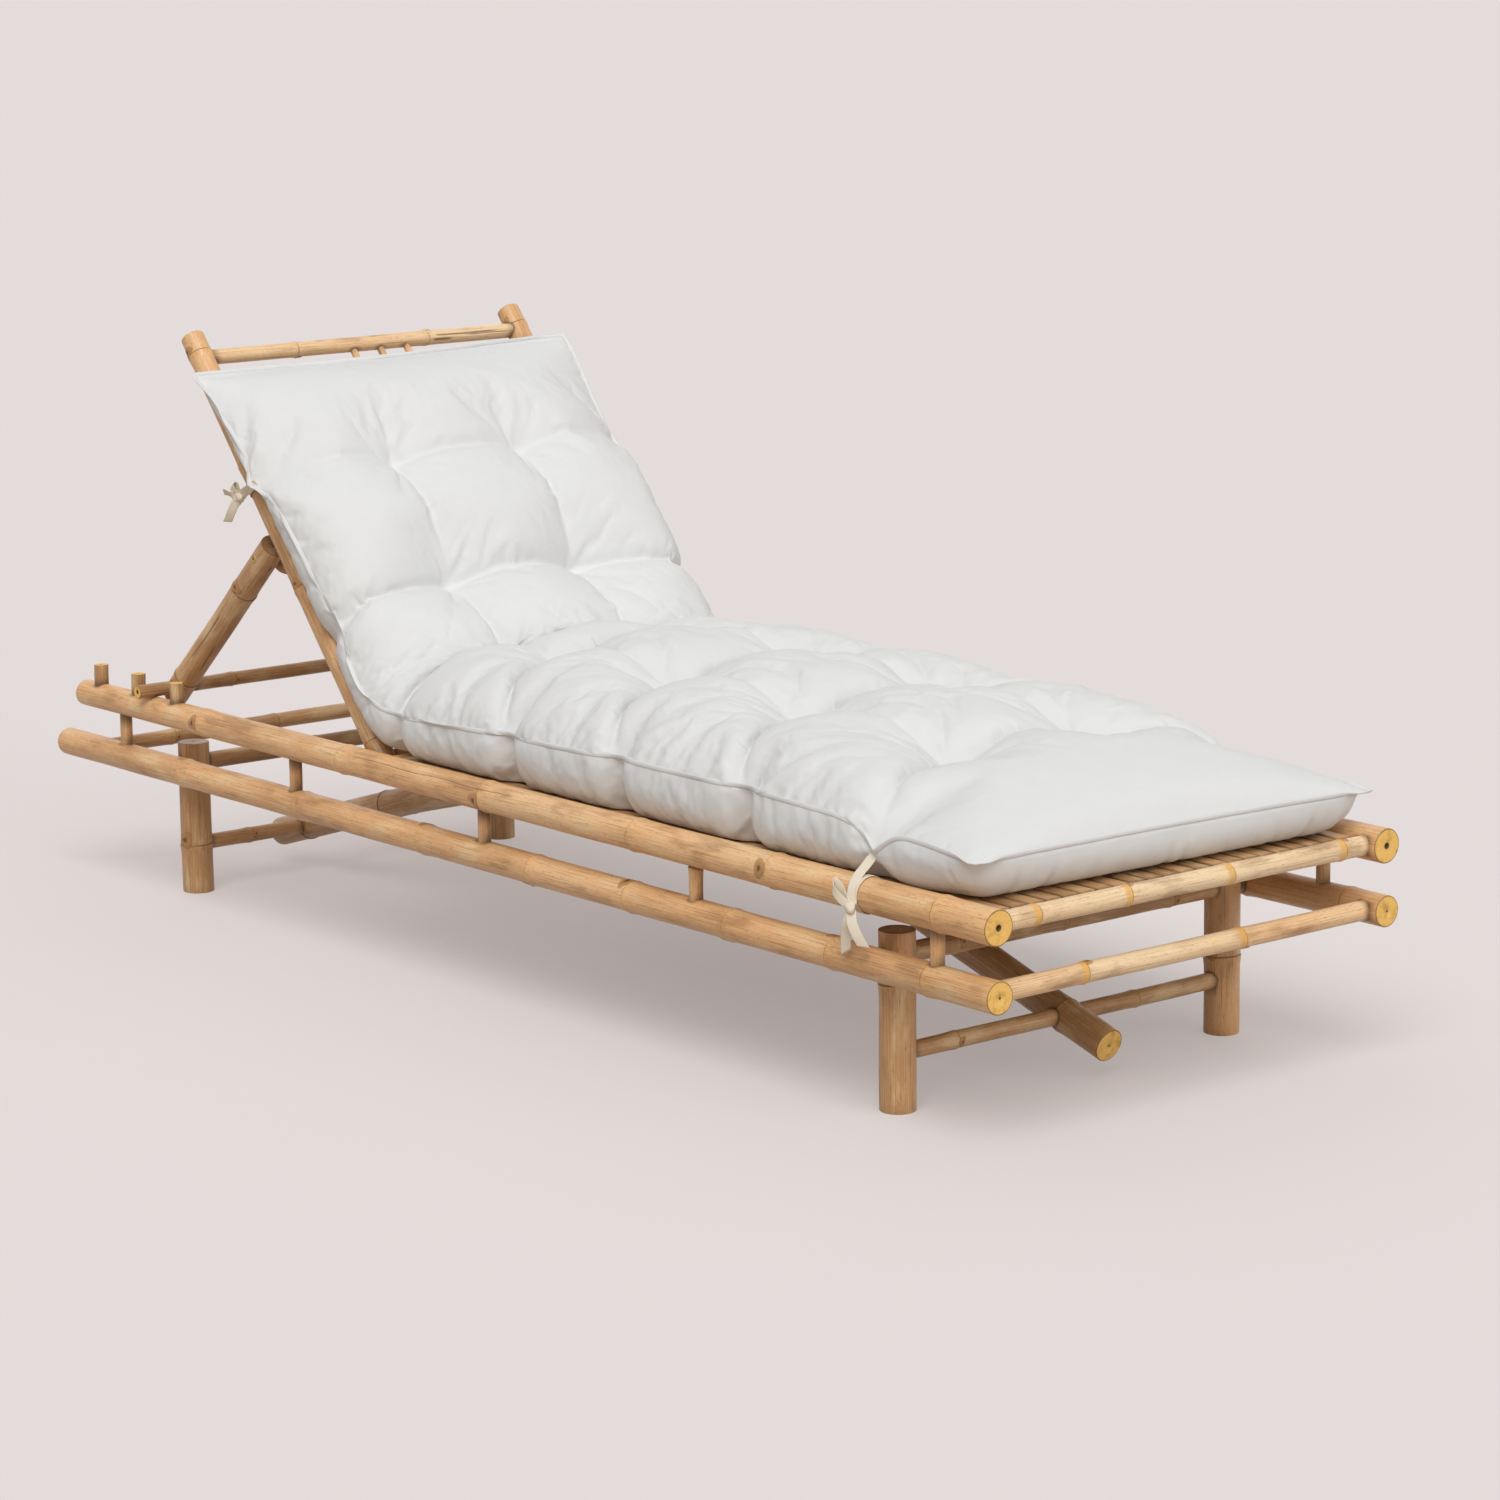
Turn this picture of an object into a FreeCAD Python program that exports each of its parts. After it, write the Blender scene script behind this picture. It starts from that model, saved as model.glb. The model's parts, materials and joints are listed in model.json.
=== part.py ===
import FreeCAD, Part
import math
import os

# Bamboo sun lounger with a hinged backrest, a swinging prop and a tufted cushion.
# Millimetres, +Z up, +Y to the head end, origin on the floor under the middle of the bed.
# "right" is the sitter's right hand, at -X.

Vec = FreeCAD.Vector

# Long rails of the bed, measured on their axes
RAIL_LENGTH = 2000.0
RAIL_SPACING = 622.0
LOWER_RAIL_Z = 184.6
LOWER_RAIL_D = 39.0
UPPER_RAIL_Z = 264.0
UPPER_RAIL_FOOT_D = 42.5
UPPER_RAIL_HEAD_D = 37.0
UPPER_FOOT_INSET = 2.0
UPPER_HEAD_INSET = 55.0
PITH_D = 6.0
PITH_DEPTH = 8.0

# Spindles between the rails of one side
POST_D = 17.0
POST_COUNT = 5
POST_FOOT_INSET = 102.0
POST_HEAD_INSET = 107.0

# Rails across the bed
FOOT_RAIL_D = 24.0
FOOT_RAIL_INSET = 21.0
HEAD_RAIL_D = 22.0
HEAD_RAIL_INSET = 74.0
SEAT_RAIL_D = 20.0
SEAT_RAIL_FOOT_GAP = 18.0
SEAT_HEAD_RAIL_SETBACK = 50.0
SEAT_LAST_RAIL_SETBACK = 90.0

# Split-bamboo strips of the seat and the backrest
SLAT_WIDTH = 22.0
SLAT_GAP = 4.2
SLAT_THICKNESS = 7.0
SLAT_EDGE_THICKNESS = 5.5
SLAT_SIDE_CLEARANCE = 2.5
SLAT_END_CLEARANCE = 1.0

# Legs, the bars through them and the sloping braces
LEG_D = 44.0
LEG_TOP_Z = 215.0
LEG_RAIL_GAP = 6.0
LEG_FOOT_INSET = 227.4
LEG_HEAD_INSET = 262.0
LEG_BAR_D = 24.0
STRETCHER_D = 21.0
STRETCHER_Z = 68.0
BRACE_D = 41.0
BRACE_RUN = 552.0
BRACE_LOW_END = 80.0
BRACE_HIGH_END = 30.0
BRACE_SADDLE_DEPTH = 10.0
BRACE_REAR_X = -70.0
PIN_D = 8.0

# Pegs on the upper rails that stop the prop's foot
PEG_D = 20.5
PEG_HEIGHT = 27.0
PEG_COUNT = 3
PEG_HEAD_INSET = 43.5
PEG_SPACING = 100.5
PEG_DEPTH = 17.0

# Backrest: along its stiles from the hinge, and out from their axes towards the sitter
HINGE_FROM_HEAD = 688.0
HINGE_BAR_D = 18.0
BACK_ANGLE = 50.2
BACK_LIFT = 25.0
STILE_D = 33.0
STILE_LENGTH = 683.0
STILE_FOOT = 24.0
STILE_RAIL_GAP = 7.0
TOP_BAR_D = 21.0
TOP_BAR_FROM_END = 35.0
BACK_RAIL_D = 20.0
BACK_RAIL_LOW = 62.0
BACK_RAIL_BELOW_BAR = 63.0
BACK_SLAT_DROP = 4.5
BACK_SLAT_LOW_END = 40.0
BACK_SLAT_OVERHANG = 15.0
BACK_ROD_D = 10.0
BACK_ROD_COUNT = 3
BACK_ROD_SPACING = 45.0
BACK_ROD_OFFSET = 23.0

# Prop behind the backrest
PROP_LEG_D = 36.5
PROP_PIVOT_ALONG = 355.0
PROP_PIVOT_BEHIND = 56.0
PROP_PIVOT_D = 22.0
PROP_LEG_TOP = 28.0
PROP_LEG_TOE = 22.0
PROP_FOOT_D = 19.0
PROP_FOOT_OVERHANG = 29.0
PROP_FOOT_PEG_GAP = 24.0
HANGER_D = 34.0
HANGER_REACH = 24.0
HANGER_LEG_GAP = 6.0
LOCK_PIN_PROUD = 6.0
LOCK_PIN_FROM_TIP = 6.0

# Cushion: heights above the slats it lies on, tuft rows counted from the hinge
CUSHION_SIDE_OVERLAP = 4.0
CUSHION_FOOT_INSET = 33.0
CUSHION_TOP_INSET = 78.0
CUSHION_TUFT_SPACING = 210.0
SEAT_TUFT_FIRST = 191.0
SEAT_TUFT_PITCH = 250.0
SEAT_TUFT_EDGE = 200.0
SEAT_SEAM_HEIGHT = 55.0
SEAT_CROWN = 135.0
SEAT_TUFT_DEPTH = 42.0
BACK_TUFT_FIRST = 196.0
BACK_TUFT_PITCH = 200.0
BACK_TUFT_EDGE = 150.0
BACK_SEAM_HEIGHT = 46.0
BACK_CROWN = 104.0
BACK_TUFT_DEPTH = 36.0
CUSHION_CHANNEL_DEPTH = 10.0
CUSHION_ROW_DROP = 16.0
CUSHION_DRAW_IN = 9.0
CUSHION_UNDERCUT = 80.0
CUSHION_EDGE_ROLL = 150.0
CUSHION_EDGE_SHARE = 0.08
CUSHION_STEPS = 6
CUSHION_FOLD_GAP = 4.0

# Tape ties
TIE_WIDTH = 13.0
TIE_THICKNESS = 1.4
TIE_KNOT_D = 13.0
TIE_KNOT_LENGTH = 11.0
TIE_TAIL_LENGTH = 62.0
TIE_TAIL_SPLAY = 16.0
TIE_FOOT_INSET = 221.0
TIE_BACK_ALONG = 415.0

# Clearances: between a tenon and its mortise, in a turning joint, and under a piece that rests
FIT = 0.15
HINGE_FIT = 0.3
REST_GAP = 0.3
SLAT_SEAT = 0.1

SIDES = {"right": -1.0, "left": 1.0}

# Places worked out from the sizes above
RAIL_X = RAIL_SPACING / 2
FOOT_Y = -RAIL_LENGTH / 2
HEAD_Y = RAIL_LENGTH / 2
UPPER_FOOT_Y = FOOT_Y + UPPER_FOOT_INSET
UPPER_HEAD_Y = HEAD_Y - UPPER_HEAD_INSET
HINGE_Y = UPPER_HEAD_Y - HINGE_FROM_HEAD
HINGE = Vec(0, HINGE_Y, UPPER_RAIL_Z)
LEG_X = RAIL_X - LOWER_RAIL_D / 2 - LEG_RAIL_GAP - LEG_D / 2
LEG_Y = {"front": FOOT_Y + LEG_FOOT_INSET, "rear": HEAD_Y - LEG_HEAD_INSET}
FOOT_RAIL_Y = UPPER_FOOT_Y + FOOT_RAIL_INSET
SEAT_HEAD_RAIL_Y = HINGE_Y - SEAT_HEAD_RAIL_SETBACK
SLAT_TOP_Z = UPPER_RAIL_Z + FOOT_RAIL_D / 2
SEAT_RAIL_Z = SLAT_TOP_Z - SLAT_THICKNESS - SLAT_SEAT - SEAT_RAIL_D / 2
SEAT_FIRST_RAIL_Y = FOOT_RAIL_Y + FOOT_RAIL_D / 2 + SEAT_RAIL_D / 2 + SEAT_RAIL_FOOT_GAP
SEAT_BRACE_RAIL_Y = LEG_Y["front"] + BRACE_RUN
SEAT_MIDDLE_RAIL_Y = (SEAT_FIRST_RAIL_Y + SEAT_BRACE_RAIL_Y) / 2
SEAT_LAST_RAIL_Y = HINGE_Y - SEAT_LAST_RAIL_SETBACK
SEAT_RAIL_YS = (SEAT_FIRST_RAIL_Y, SEAT_MIDDLE_RAIL_Y, SEAT_BRACE_RAIL_Y, SEAT_LAST_RAIL_Y)
TOP_BAR_ALONG = STILE_LENGTH - TOP_BAR_FROM_END
BACK_RAIL_HIGH = TOP_BAR_ALONG - BACK_RAIL_BELOW_BAR
BACK_SLAT_TOP = STILE_D / 2 - BACK_SLAT_DROP
BACK_RAIL_OUT = BACK_SLAT_TOP - SLAT_THICKNESS - SLAT_SEAT - BACK_RAIL_D / 2
CUSHION_FLOOR_OUT = BACK_SLAT_TOP + REST_GAP
CUSHION_HALF_WIDTH = RAIL_X - CUSHION_SIDE_OVERLAP
PEG_YS = [UPPER_HEAD_Y - PEG_HEAD_INSET - PEG_SPACING * i for i in range(PEG_COUNT)]


def upper_rail_radius(y):
    """Radius of the upper rail, which thins evenly from the foot end to the head end."""
    share = (y - UPPER_FOOT_Y) / (UPPER_HEAD_Y - UPPER_FOOT_Y)
    return (UPPER_RAIL_FOOT_D + (UPPER_RAIL_HEAD_D - UPPER_RAIL_FOOT_D) * share) / 2


STILE_X = RAIL_X - upper_rail_radius(HINGE_Y) - STILE_RAIL_GAP - STILE_D / 2
PROP_X = STILE_X
HANGER_X = PROP_X - PROP_LEG_D / 2 - HANGER_LEG_GAP - HANGER_D / 2


def on_back(x, along, out):
    """Point of the backrest: along the stiles from the hinge, out towards the sitter."""
    angle = math.radians(BACK_ANGLE)
    y = along * math.cos(angle) - out * math.sin(angle)
    z = along * math.sin(angle) + out * math.cos(angle)
    return HINGE + Vec(x, y, z)


def pole(start, end, diameter):
    """Straight round pole between two points."""
    return Part.makeCylinder(diameter / 2, (end - start).Length, start, end - start)


def socket(rung, fit):
    """The room that a rung needs: wider and longer than the rung by the fit on every side."""
    start, end, diameter = rung
    step = (end - start).normalize() * fit
    return pole(start - step, end + step, diameter + 2 * fit)


def pierced(shape, rungs, fit=FIT):
    """The shape with a mortise for each rung."""
    for rung in rungs:
        shape = shape.cut(socket(rung, fit))
    return shape


def across(half_width, y, z, diameter):
    """A rung across the bed, from one pole's axis to the other's."""
    return (Vec(-half_width, y, z), Vec(half_width, y, z), diameter)


def across_back(half_width, along, out, diameter):
    """A rung across the backrest, from one pole's axis to the other's."""
    return (on_back(-half_width, along, out), on_back(half_width, along, out), diameter)


def with_pith(shape, start, end):
    """The shape of a pole with the small pith hole that shows at each cut end."""
    step = (end - start).normalize() * PITH_DEPTH
    return shape.cut(pole(start, start + step, PITH_D)).cut(pole(end, end - step, PITH_D))


def slat_row(place, clear_width, low, high):
    """Strips side by side: flat below, crowned above, centred between two poles."""
    count = int((clear_width + SLAT_GAP) // (SLAT_WIDTH + SLAT_GAP))
    pitch = SLAT_WIDTH + SLAT_GAP
    strips = []
    for i in range(count):
        middle = (i - (count - 1) / 2) * pitch
        left = middle - SLAT_WIDTH / 2
        right = middle + SLAT_WIDTH / 2
        corners = [place(left, low, -SLAT_THICKNESS), place(right, low, -SLAT_THICKNESS)]
        edge_out = SLAT_EDGE_THICKNESS - SLAT_THICKNESS
        corners += [place(right, low, edge_out), place(left, low, edge_out)]
        crown = Part.Arc(corners[2], place(middle, low, 0), corners[3]).toShape()
        sides = [Part.makeLine(corners[k], corners[(k + 1) % 4]) for k in (0, 1, 3)]
        section = Part.Face(Part.Wire([sides[0], sides[1], crown, sides[2]]))
        strips.append(section.extrude(place(0, high, 0) - place(0, low, 0)))
    return Part.makeCompound(strips)


def on_seat_slats(x, y, out):
    """Point above or below the top of the seat's slats."""
    return Vec(x, y, SLAT_TOP_Z + out)


def on_back_slats(x, along, out):
    """Point in front of or behind the top of the backrest's slats."""
    return on_back(x, along, BACK_SLAT_TOP + out)


# Rungs: each is let into its poles as far as their axes
foot_rail_upper = across(RAIL_X, FOOT_RAIL_Y, UPPER_RAIL_Z, FOOT_RAIL_D)
foot_rail_lower = across(RAIL_X, FOOT_RAIL_Y, LOWER_RAIL_Z, FOOT_RAIL_D)
head_rail = across(RAIL_X, HEAD_Y - HEAD_RAIL_INSET, LOWER_RAIL_Z, HEAD_RAIL_D)
seat_head_rail = across(RAIL_X, SEAT_HEAD_RAIL_Y, UPPER_RAIL_Z, FOOT_RAIL_D)
seat_rails = [across(RAIL_X, y, SEAT_RAIL_Z, SEAT_RAIL_D) for y in SEAT_RAIL_YS]
hinge_bar = across(RAIL_X, HINGE_Y, UPPER_RAIL_Z, HINGE_BAR_D)
leg_bars = {end: across(RAIL_X, y, LOWER_RAIL_Z, LEG_BAR_D) for end, y in LEG_Y.items()}
stretchers = {end: across(LEG_X, y, STRETCHER_Z, STRETCHER_D) for end, y in LEG_Y.items()}
top_bar = across_back(STILE_X, TOP_BAR_ALONG, 0, TOP_BAR_D)
back_rails = {
    "low": across_back(STILE_X, BACK_RAIL_LOW, BACK_RAIL_OUT, BACK_RAIL_D),
    "mid": across_back(STILE_X, PROP_PIVOT_ALONG, BACK_RAIL_OUT, BACK_RAIL_D),
    "high": across_back(STILE_X, BACK_RAIL_HIGH, BACK_RAIL_OUT, BACK_RAIL_D),
}
pivot_rail = across_back(PROP_X, PROP_PIVOT_ALONG, -PROP_PIVOT_BEHIND, PROP_PIVOT_D)


def posts(side):
    """Spindles of one side, evenly spaced along the rails."""
    x = SIDES[side] * RAIL_X
    first = UPPER_FOOT_Y + POST_FOOT_INSET
    step = (UPPER_HEAD_Y - POST_HEAD_INSET - first) / (POST_COUNT - 1)
    ys = [first + step * i for i in range(POST_COUNT)]
    return [(Vec(x, y, LOWER_RAIL_Z), Vec(x, y, UPPER_RAIL_Z), POST_D) for y in ys]


def pegs(side):
    """Upright pegs of one side, let into the top of the upper rail."""
    x = SIDES[side] * RAIL_X
    rungs = []
    for y in PEG_YS:
        rail_top = UPPER_RAIL_Z + upper_rail_radius(y)
        rungs.append((Vec(x, y, rail_top - PEG_DEPTH), Vec(x, y, rail_top + PEG_HEIGHT), PEG_D))
    return rungs


def upper_rail(side):
    """Tapered upper rail with the mortises for everything that is let into it."""
    x = SIDES[side] * RAIL_X
    start = Vec(x, UPPER_FOOT_Y, UPPER_RAIL_Z)
    end = Vec(x, UPPER_HEAD_Y, UPPER_RAIL_Z)
    length = UPPER_HEAD_Y - UPPER_FOOT_Y
    shape = Part.makeCone(UPPER_RAIL_FOOT_D / 2, UPPER_RAIL_HEAD_D / 2, length, start, end - start)
    rungs = [foot_rail_upper, seat_head_rail, hinge_bar] + seat_rails + posts(side) + pegs(side)
    return pierced(with_pith(shape, start, end), rungs)


def lower_rail(side):
    """Straight lower rail with its mortises."""
    x = SIDES[side] * RAIL_X
    start = Vec(x, FOOT_Y, LOWER_RAIL_Z)
    end = Vec(x, HEAD_Y, LOWER_RAIL_Z)
    shape = with_pith(pole(start, end, LOWER_RAIL_D), start, end)
    return pierced(shape, [foot_rail_lower, head_rail] + list(leg_bars.values()) + posts(side))


def leg(end, side):
    """Short thick leg beside the lower rail, with its bar through the top and a stretcher mortise."""
    x = SIDES[side] * LEG_X
    shape = pole(Vec(x, LEG_Y[end], 0), Vec(x, LEG_Y[end], LEG_TOP_Z), LEG_D)
    return pierced(shape, [leg_bars[end], stretchers[end]])


def brace_line(end):
    """Axis of a brace: through its stretcher, then under its seat rail by the saddle's depth."""
    x = {"front": 0.0, "rear": BRACE_REAR_X}[end]
    rail_y = {"front": SEAT_BRACE_RAIL_Y, "rear": SEAT_LAST_RAIL_Y}[end]
    low = Vec(x, LEG_Y[end], STRETCHER_Z)
    drop = SEAT_RAIL_D / 2 + BRACE_D / 2 - BRACE_SADDLE_DEPTH
    slope = math.atan2(SEAT_RAIL_Z - drop - STRETCHER_Z, abs(rail_y - LEG_Y[end]))
    high = Vec(x, rail_y, SEAT_RAIL_Z - drop / math.cos(slope))
    return low, high


def brace_pin(end):
    """Upright pin from under the brace into its seat rail."""
    high = brace_line(end)[1]
    return (high - Vec(0, 0, BRACE_D / 2), Vec(high.x, high.y, SEAT_RAIL_Z), PIN_D)


def brace(end):
    """Sloping pole with a hole for the stretcher and a saddle for the seat rail."""
    low, high = brace_line(end)
    step = (high - low).normalize()
    shape = pole(low - step * BRACE_LOW_END, high + step * BRACE_HIGH_END, BRACE_D)
    return pierced(shape, [stretchers[end], brace_pin(end)] + seat_rails)


def seat_rail(index):
    """Rail under the slats, drilled for the pin of a brace that it carries."""
    return pierced(pole(*seat_rails[index]), [brace_pin("front"), brace_pin("rear")])


def stile(side):
    """Side pole of the backrest, turning on the hinge bar."""
    x = SIDES[side] * STILE_X
    start = on_back(x, -STILE_FOOT, 0)
    end = on_back(x, STILE_LENGTH, 0)
    shape = with_pith(pole(start, end, STILE_D), start, end)
    shape = pierced(shape, [top_bar] + list(back_rails.values()))
    return pierced(shape, [hinge_bar], HINGE_FIT)


def back_rods():
    """Thin rods from the high rail into the middle of the top bar."""
    xs = [BACK_ROD_OFFSET + BACK_ROD_SPACING * (i - (BACK_ROD_COUNT - 1) / 2) for i in range(BACK_ROD_COUNT)]
    return [(on_back(x, BACK_RAIL_HIGH, 0), on_back(x, TOP_BAR_ALONG, 0), BACK_ROD_D) for x in xs]


def hanger_pin(side):
    """Pin through the middle rail into the hanger, along the hanger."""
    x = SIDES[side] * HANGER_X
    front = BACK_RAIL_OUT + BACK_RAIL_D / 2
    back = BACK_RAIL_OUT - BACK_RAIL_D / 2 - PIN_D
    return (on_back(x, PROP_PIVOT_ALONG, front), on_back(x, PROP_PIVOT_ALONG, back), PIN_D)


def hanger(side):
    """Short pole behind the middle rail, saddled on it, with the bearing hole of the prop."""
    x = SIDES[side] * HANGER_X
    start = on_back(x, PROP_PIVOT_ALONG, BACK_RAIL_OUT)
    end = on_back(x, PROP_PIVOT_ALONG, -PROP_PIVOT_BEHIND - HANGER_REACH)
    shape = pierced(pole(start, end, HANGER_D), [back_rails["mid"], hanger_pin(side)])
    return pierced(shape, [pivot_rail], HINGE_FIT)


def prop_foot():
    """The prop's foot bar: on top of the upper rails, short of the middle pegs."""
    y = PEG_YS[1] - PEG_D / 2 - PROP_FOOT_PEG_GAP - PROP_FOOT_D / 2
    z = UPPER_RAIL_Z + upper_rail_radius(y) + REST_GAP + PROP_FOOT_D / 2
    return across(RAIL_X + PROP_FOOT_OVERHANG, y, z, PROP_FOOT_D)


def prop_axis(side):
    """Top and foot of a prop leg's axis, where its two bars cross it."""
    x = SIDES[side] * PROP_X
    foot = prop_foot()[0]
    return on_back(x, PROP_PIVOT_ALONG, -PROP_PIVOT_BEHIND), Vec(x, foot.y, foot.z)


def lock_pin(side):
    """Pin square to the prop leg, through the tip of the pivot rail, standing proud at the back."""
    top, foot = prop_axis(side)
    run = (foot - top).normalize()
    outward = Vec(0, -run.z, run.y)
    middle = top - Vec(SIDES[side] * LOCK_PIN_FROM_TIP, 0, 0)
    proud = PROP_LEG_D / 2 + LOCK_PIN_PROUD
    return (middle - outward * PROP_PIVOT_D / 2, middle + outward * proud, PIN_D)


def prop_leg(side):
    """Leg of the prop with its bars' holes."""
    top, foot = prop_axis(side)
    run = (foot - top).normalize()
    shape = pole(top - run * PROP_LEG_TOP, foot + run * PROP_LEG_TOE, PROP_LEG_D)
    return pierced(shape, [pivot_rail, prop_foot(), lock_pin(side)])


def cushion_section(place, half_width, seam, floor, crown, pit):
    """Closed outline: three lobes between two tufts above, and a flat sole whose sides roll up to the seam."""
    tuft = CUSHION_TUFT_SPACING / 2
    sole = half_width - CUSHION_UNDERCUT
    lobe = (half_width + tuft) / 2
    rise = seam - floor
    roll_radius = (CUSHION_UNDERCUT ** 2 + rise ** 2) / (2 * rise)
    roll_run = CUSHION_UNDERCUT / 2
    roll_x = sole + roll_run
    roll_out = floor + roll_radius - math.sqrt(roll_radius ** 2 - roll_run ** 2)
    arcs = [
        ((-half_width, seam), (-lobe, crown), (-tuft, pit)),
        ((-tuft, pit), (0, crown), (tuft, pit)),
        ((tuft, pit), (lobe, crown), (half_width, seam)),
        ((half_width, seam), (roll_x, roll_out), (sole, floor)),
        ((-sole, floor), (-roll_x, roll_out), (-half_width, seam)),
    ]
    edges = [Part.Arc(*[place(*point) for point in arc]).toShape() for arc in arcs]
    edges.insert(4, Part.makeLine(place(sole, floor), place(-sole, floor)))
    return Part.Wire(edges)


def tuft_rows(first, pitch, last):
    """Distances of the tuft rows from the hinge, as many as stay short of the last place for one."""
    count = int((last - first) // pitch) + 1
    return [first + pitch * i for i in range(count)]


def cushion_stations(rows, edge, fold):
    """Stations from the free edge to the fold: place, wave (1 on a tuft row), distance from the edge."""
    stops = [edge] + list(rows) + [fold]
    stations = []
    for k in range(len(stops) - 1):
        for i in range(CUSHION_STEPS):
            share = i / CUSHION_STEPS
            wave = math.cos(math.pi * share) ** 2
            if k == 0 and share < 0.5 or k == len(rows) and share > 0.5:
                wave = 0.0
            stations.append((stops[k] + (stops[k + 1] - stops[k]) * share, wave))
    stations.append((fold, 0.0))
    return [(at, wave, abs(at - edge)) for at, wave in stations]


def cushion(point, rows, edge, fold, lean, seam, top, tuft_depth):
    """Tufted cushion: sections lofted from its knife edge to the fold, where they lean to the mitre."""
    sections = []
    last_row = rows[-1]
    for at, wave, from_edge in cushion_stations(rows, edge, fold):
        share = min(from_edge / CUSHION_EDGE_ROLL, 1.0)
        swell = max(math.sqrt(1 - (1 - share) ** 2), CUSHION_EDGE_SHARE)
        crown = seam + (top - CUSHION_ROW_DROP * wave - seam) * swell
        depth = CUSHION_CHANNEL_DEPTH + (tuft_depth - CUSHION_CHANNEL_DEPTH) * wave
        floor = seam * (1 - swell)
        slant = lean * min(max((at - last_row) / (fold - last_row), 0.0), 1.0)
        half_width = CUSHION_HALF_WIDTH - CUSHION_DRAW_IN * wave

        def place(x, out, at=at, slant=slant):
            return point(x, at + slant * out, out)

        sections.append(cushion_section(place, half_width, seam, floor, crown, crown - depth * swell))
    return Part.makeLoft(sections, True, True)


# The two halves of the cushion meet along the plane that halves their angle at full lift.
FOLD_LEAN = 1 / math.tan(math.radians(180 - BACK_ANGLE - BACK_LIFT) / 2)


def seat_cushion():
    """Seat half of the cushion, on the slats."""
    floor_z = SLAT_TOP_Z + REST_GAP
    edge = FOOT_Y + CUSHION_FOOT_INSET
    fold = HINGE_Y - FOLD_LEAN * (floor_z - UPPER_RAIL_Z) - CUSHION_FOLD_GAP
    from_hinge = tuft_rows(SEAT_TUFT_FIRST, SEAT_TUFT_PITCH, HINGE_Y - edge - SEAT_TUFT_EDGE)
    rows = [HINGE_Y - row for row in reversed(from_hinge)]

    def point(x, y, out):
        return Vec(x, y, floor_z + out)

    return cushion(point, rows, edge, fold, -FOLD_LEAN, SEAT_SEAM_HEIGHT, SEAT_CROWN, SEAT_TUFT_DEPTH)


def back_cushion():
    """Back half of the cushion, on the stiles and slats."""
    fold = FOLD_LEAN * CUSHION_FLOOR_OUT + CUSHION_FOLD_GAP
    edge = STILE_LENGTH - CUSHION_TOP_INSET
    rows = tuft_rows(BACK_TUFT_FIRST, BACK_TUFT_PITCH, edge - BACK_TUFT_EDGE)[::-1]

    def point(x, along, out):
        return on_back(x, along, CUSHION_FLOOR_OUT + out)

    lift = (BACK_SEAM_HEIGHT, BACK_CROWN, BACK_TUFT_DEPTH)
    return cushion(point, rows, edge, fold, FOLD_LEAN, *lift)


def tie(middle, axis, radius, knot_way, tail_way):
    """Tape round a pole with a rolled knot at its side and two tails that hang from the knot in a V."""
    inner = radius + REST_GAP
    outer = inner + TIE_THICKNESS
    half = axis * (TIE_WIDTH / 2)
    band = pole(middle - half, middle + half, 2 * outer)
    band = band.cut(pole(middle - 2 * half, middle + 2 * half, 2 * inner))
    knot_middle = middle + knot_way * (inner + TIE_THICKNESS / 2 + TIE_KNOT_D / 2)
    knot_half = axis * (TIE_KNOT_LENGTH / 2)
    knot = pole(knot_middle - knot_half, knot_middle + knot_half, TIE_KNOT_D)
    fork = TIE_TAIL_LENGTH * TIE_WIDTH / (2 * TIE_TAIL_SPLAY)
    near = TIE_TAIL_SPLAY - TIE_WIDTH / 2
    far = TIE_TAIL_SPLAY + TIE_WIDTH / 2
    outline = [(-TIE_WIDTH / 2, 0), (TIE_WIDTH / 2, 0), (far, TIE_TAIL_LENGTH), (near, TIE_TAIL_LENGTH)]
    outline += [(0, fork), (-near, TIE_TAIL_LENGTH), (-far, TIE_TAIL_LENGTH)]
    corners = [knot_middle + axis * over + tail_way * down for over, down in outline]
    face = Part.Face(Part.makePolygon(corners + corners[:1]))
    tails = face.extrude(knot_way * TIE_THICKNESS)
    return band.fuse([knot, tails]).removeSplitter()


def tie_front(side):
    """Tie round the upper rail near the foot end, its knot on the outside."""
    y = FOOT_Y + TIE_FOOT_INSET
    middle = Vec(SIDES[side] * RAIL_X, y, UPPER_RAIL_Z)
    outward = Vec(SIDES[side], 0, 0)
    return tie(middle, Vec(0, 1, 0), upper_rail_radius(y - TIE_WIDTH), outward, Vec(0, 0, -1))


def tie_back(side):
    """Tie round the stile, its knot on the outside."""
    middle = on_back(SIDES[side] * STILE_X, TIE_BACK_ALONG, 0)
    axis = (on_back(0, 1, 0) - HINGE).normalize()
    outward = Vec(SIDES[side], 0, 0)
    return tie(middle, axis, STILE_D / 2, outward, (on_back(0, 0, -1) - HINGE).normalize())


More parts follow.
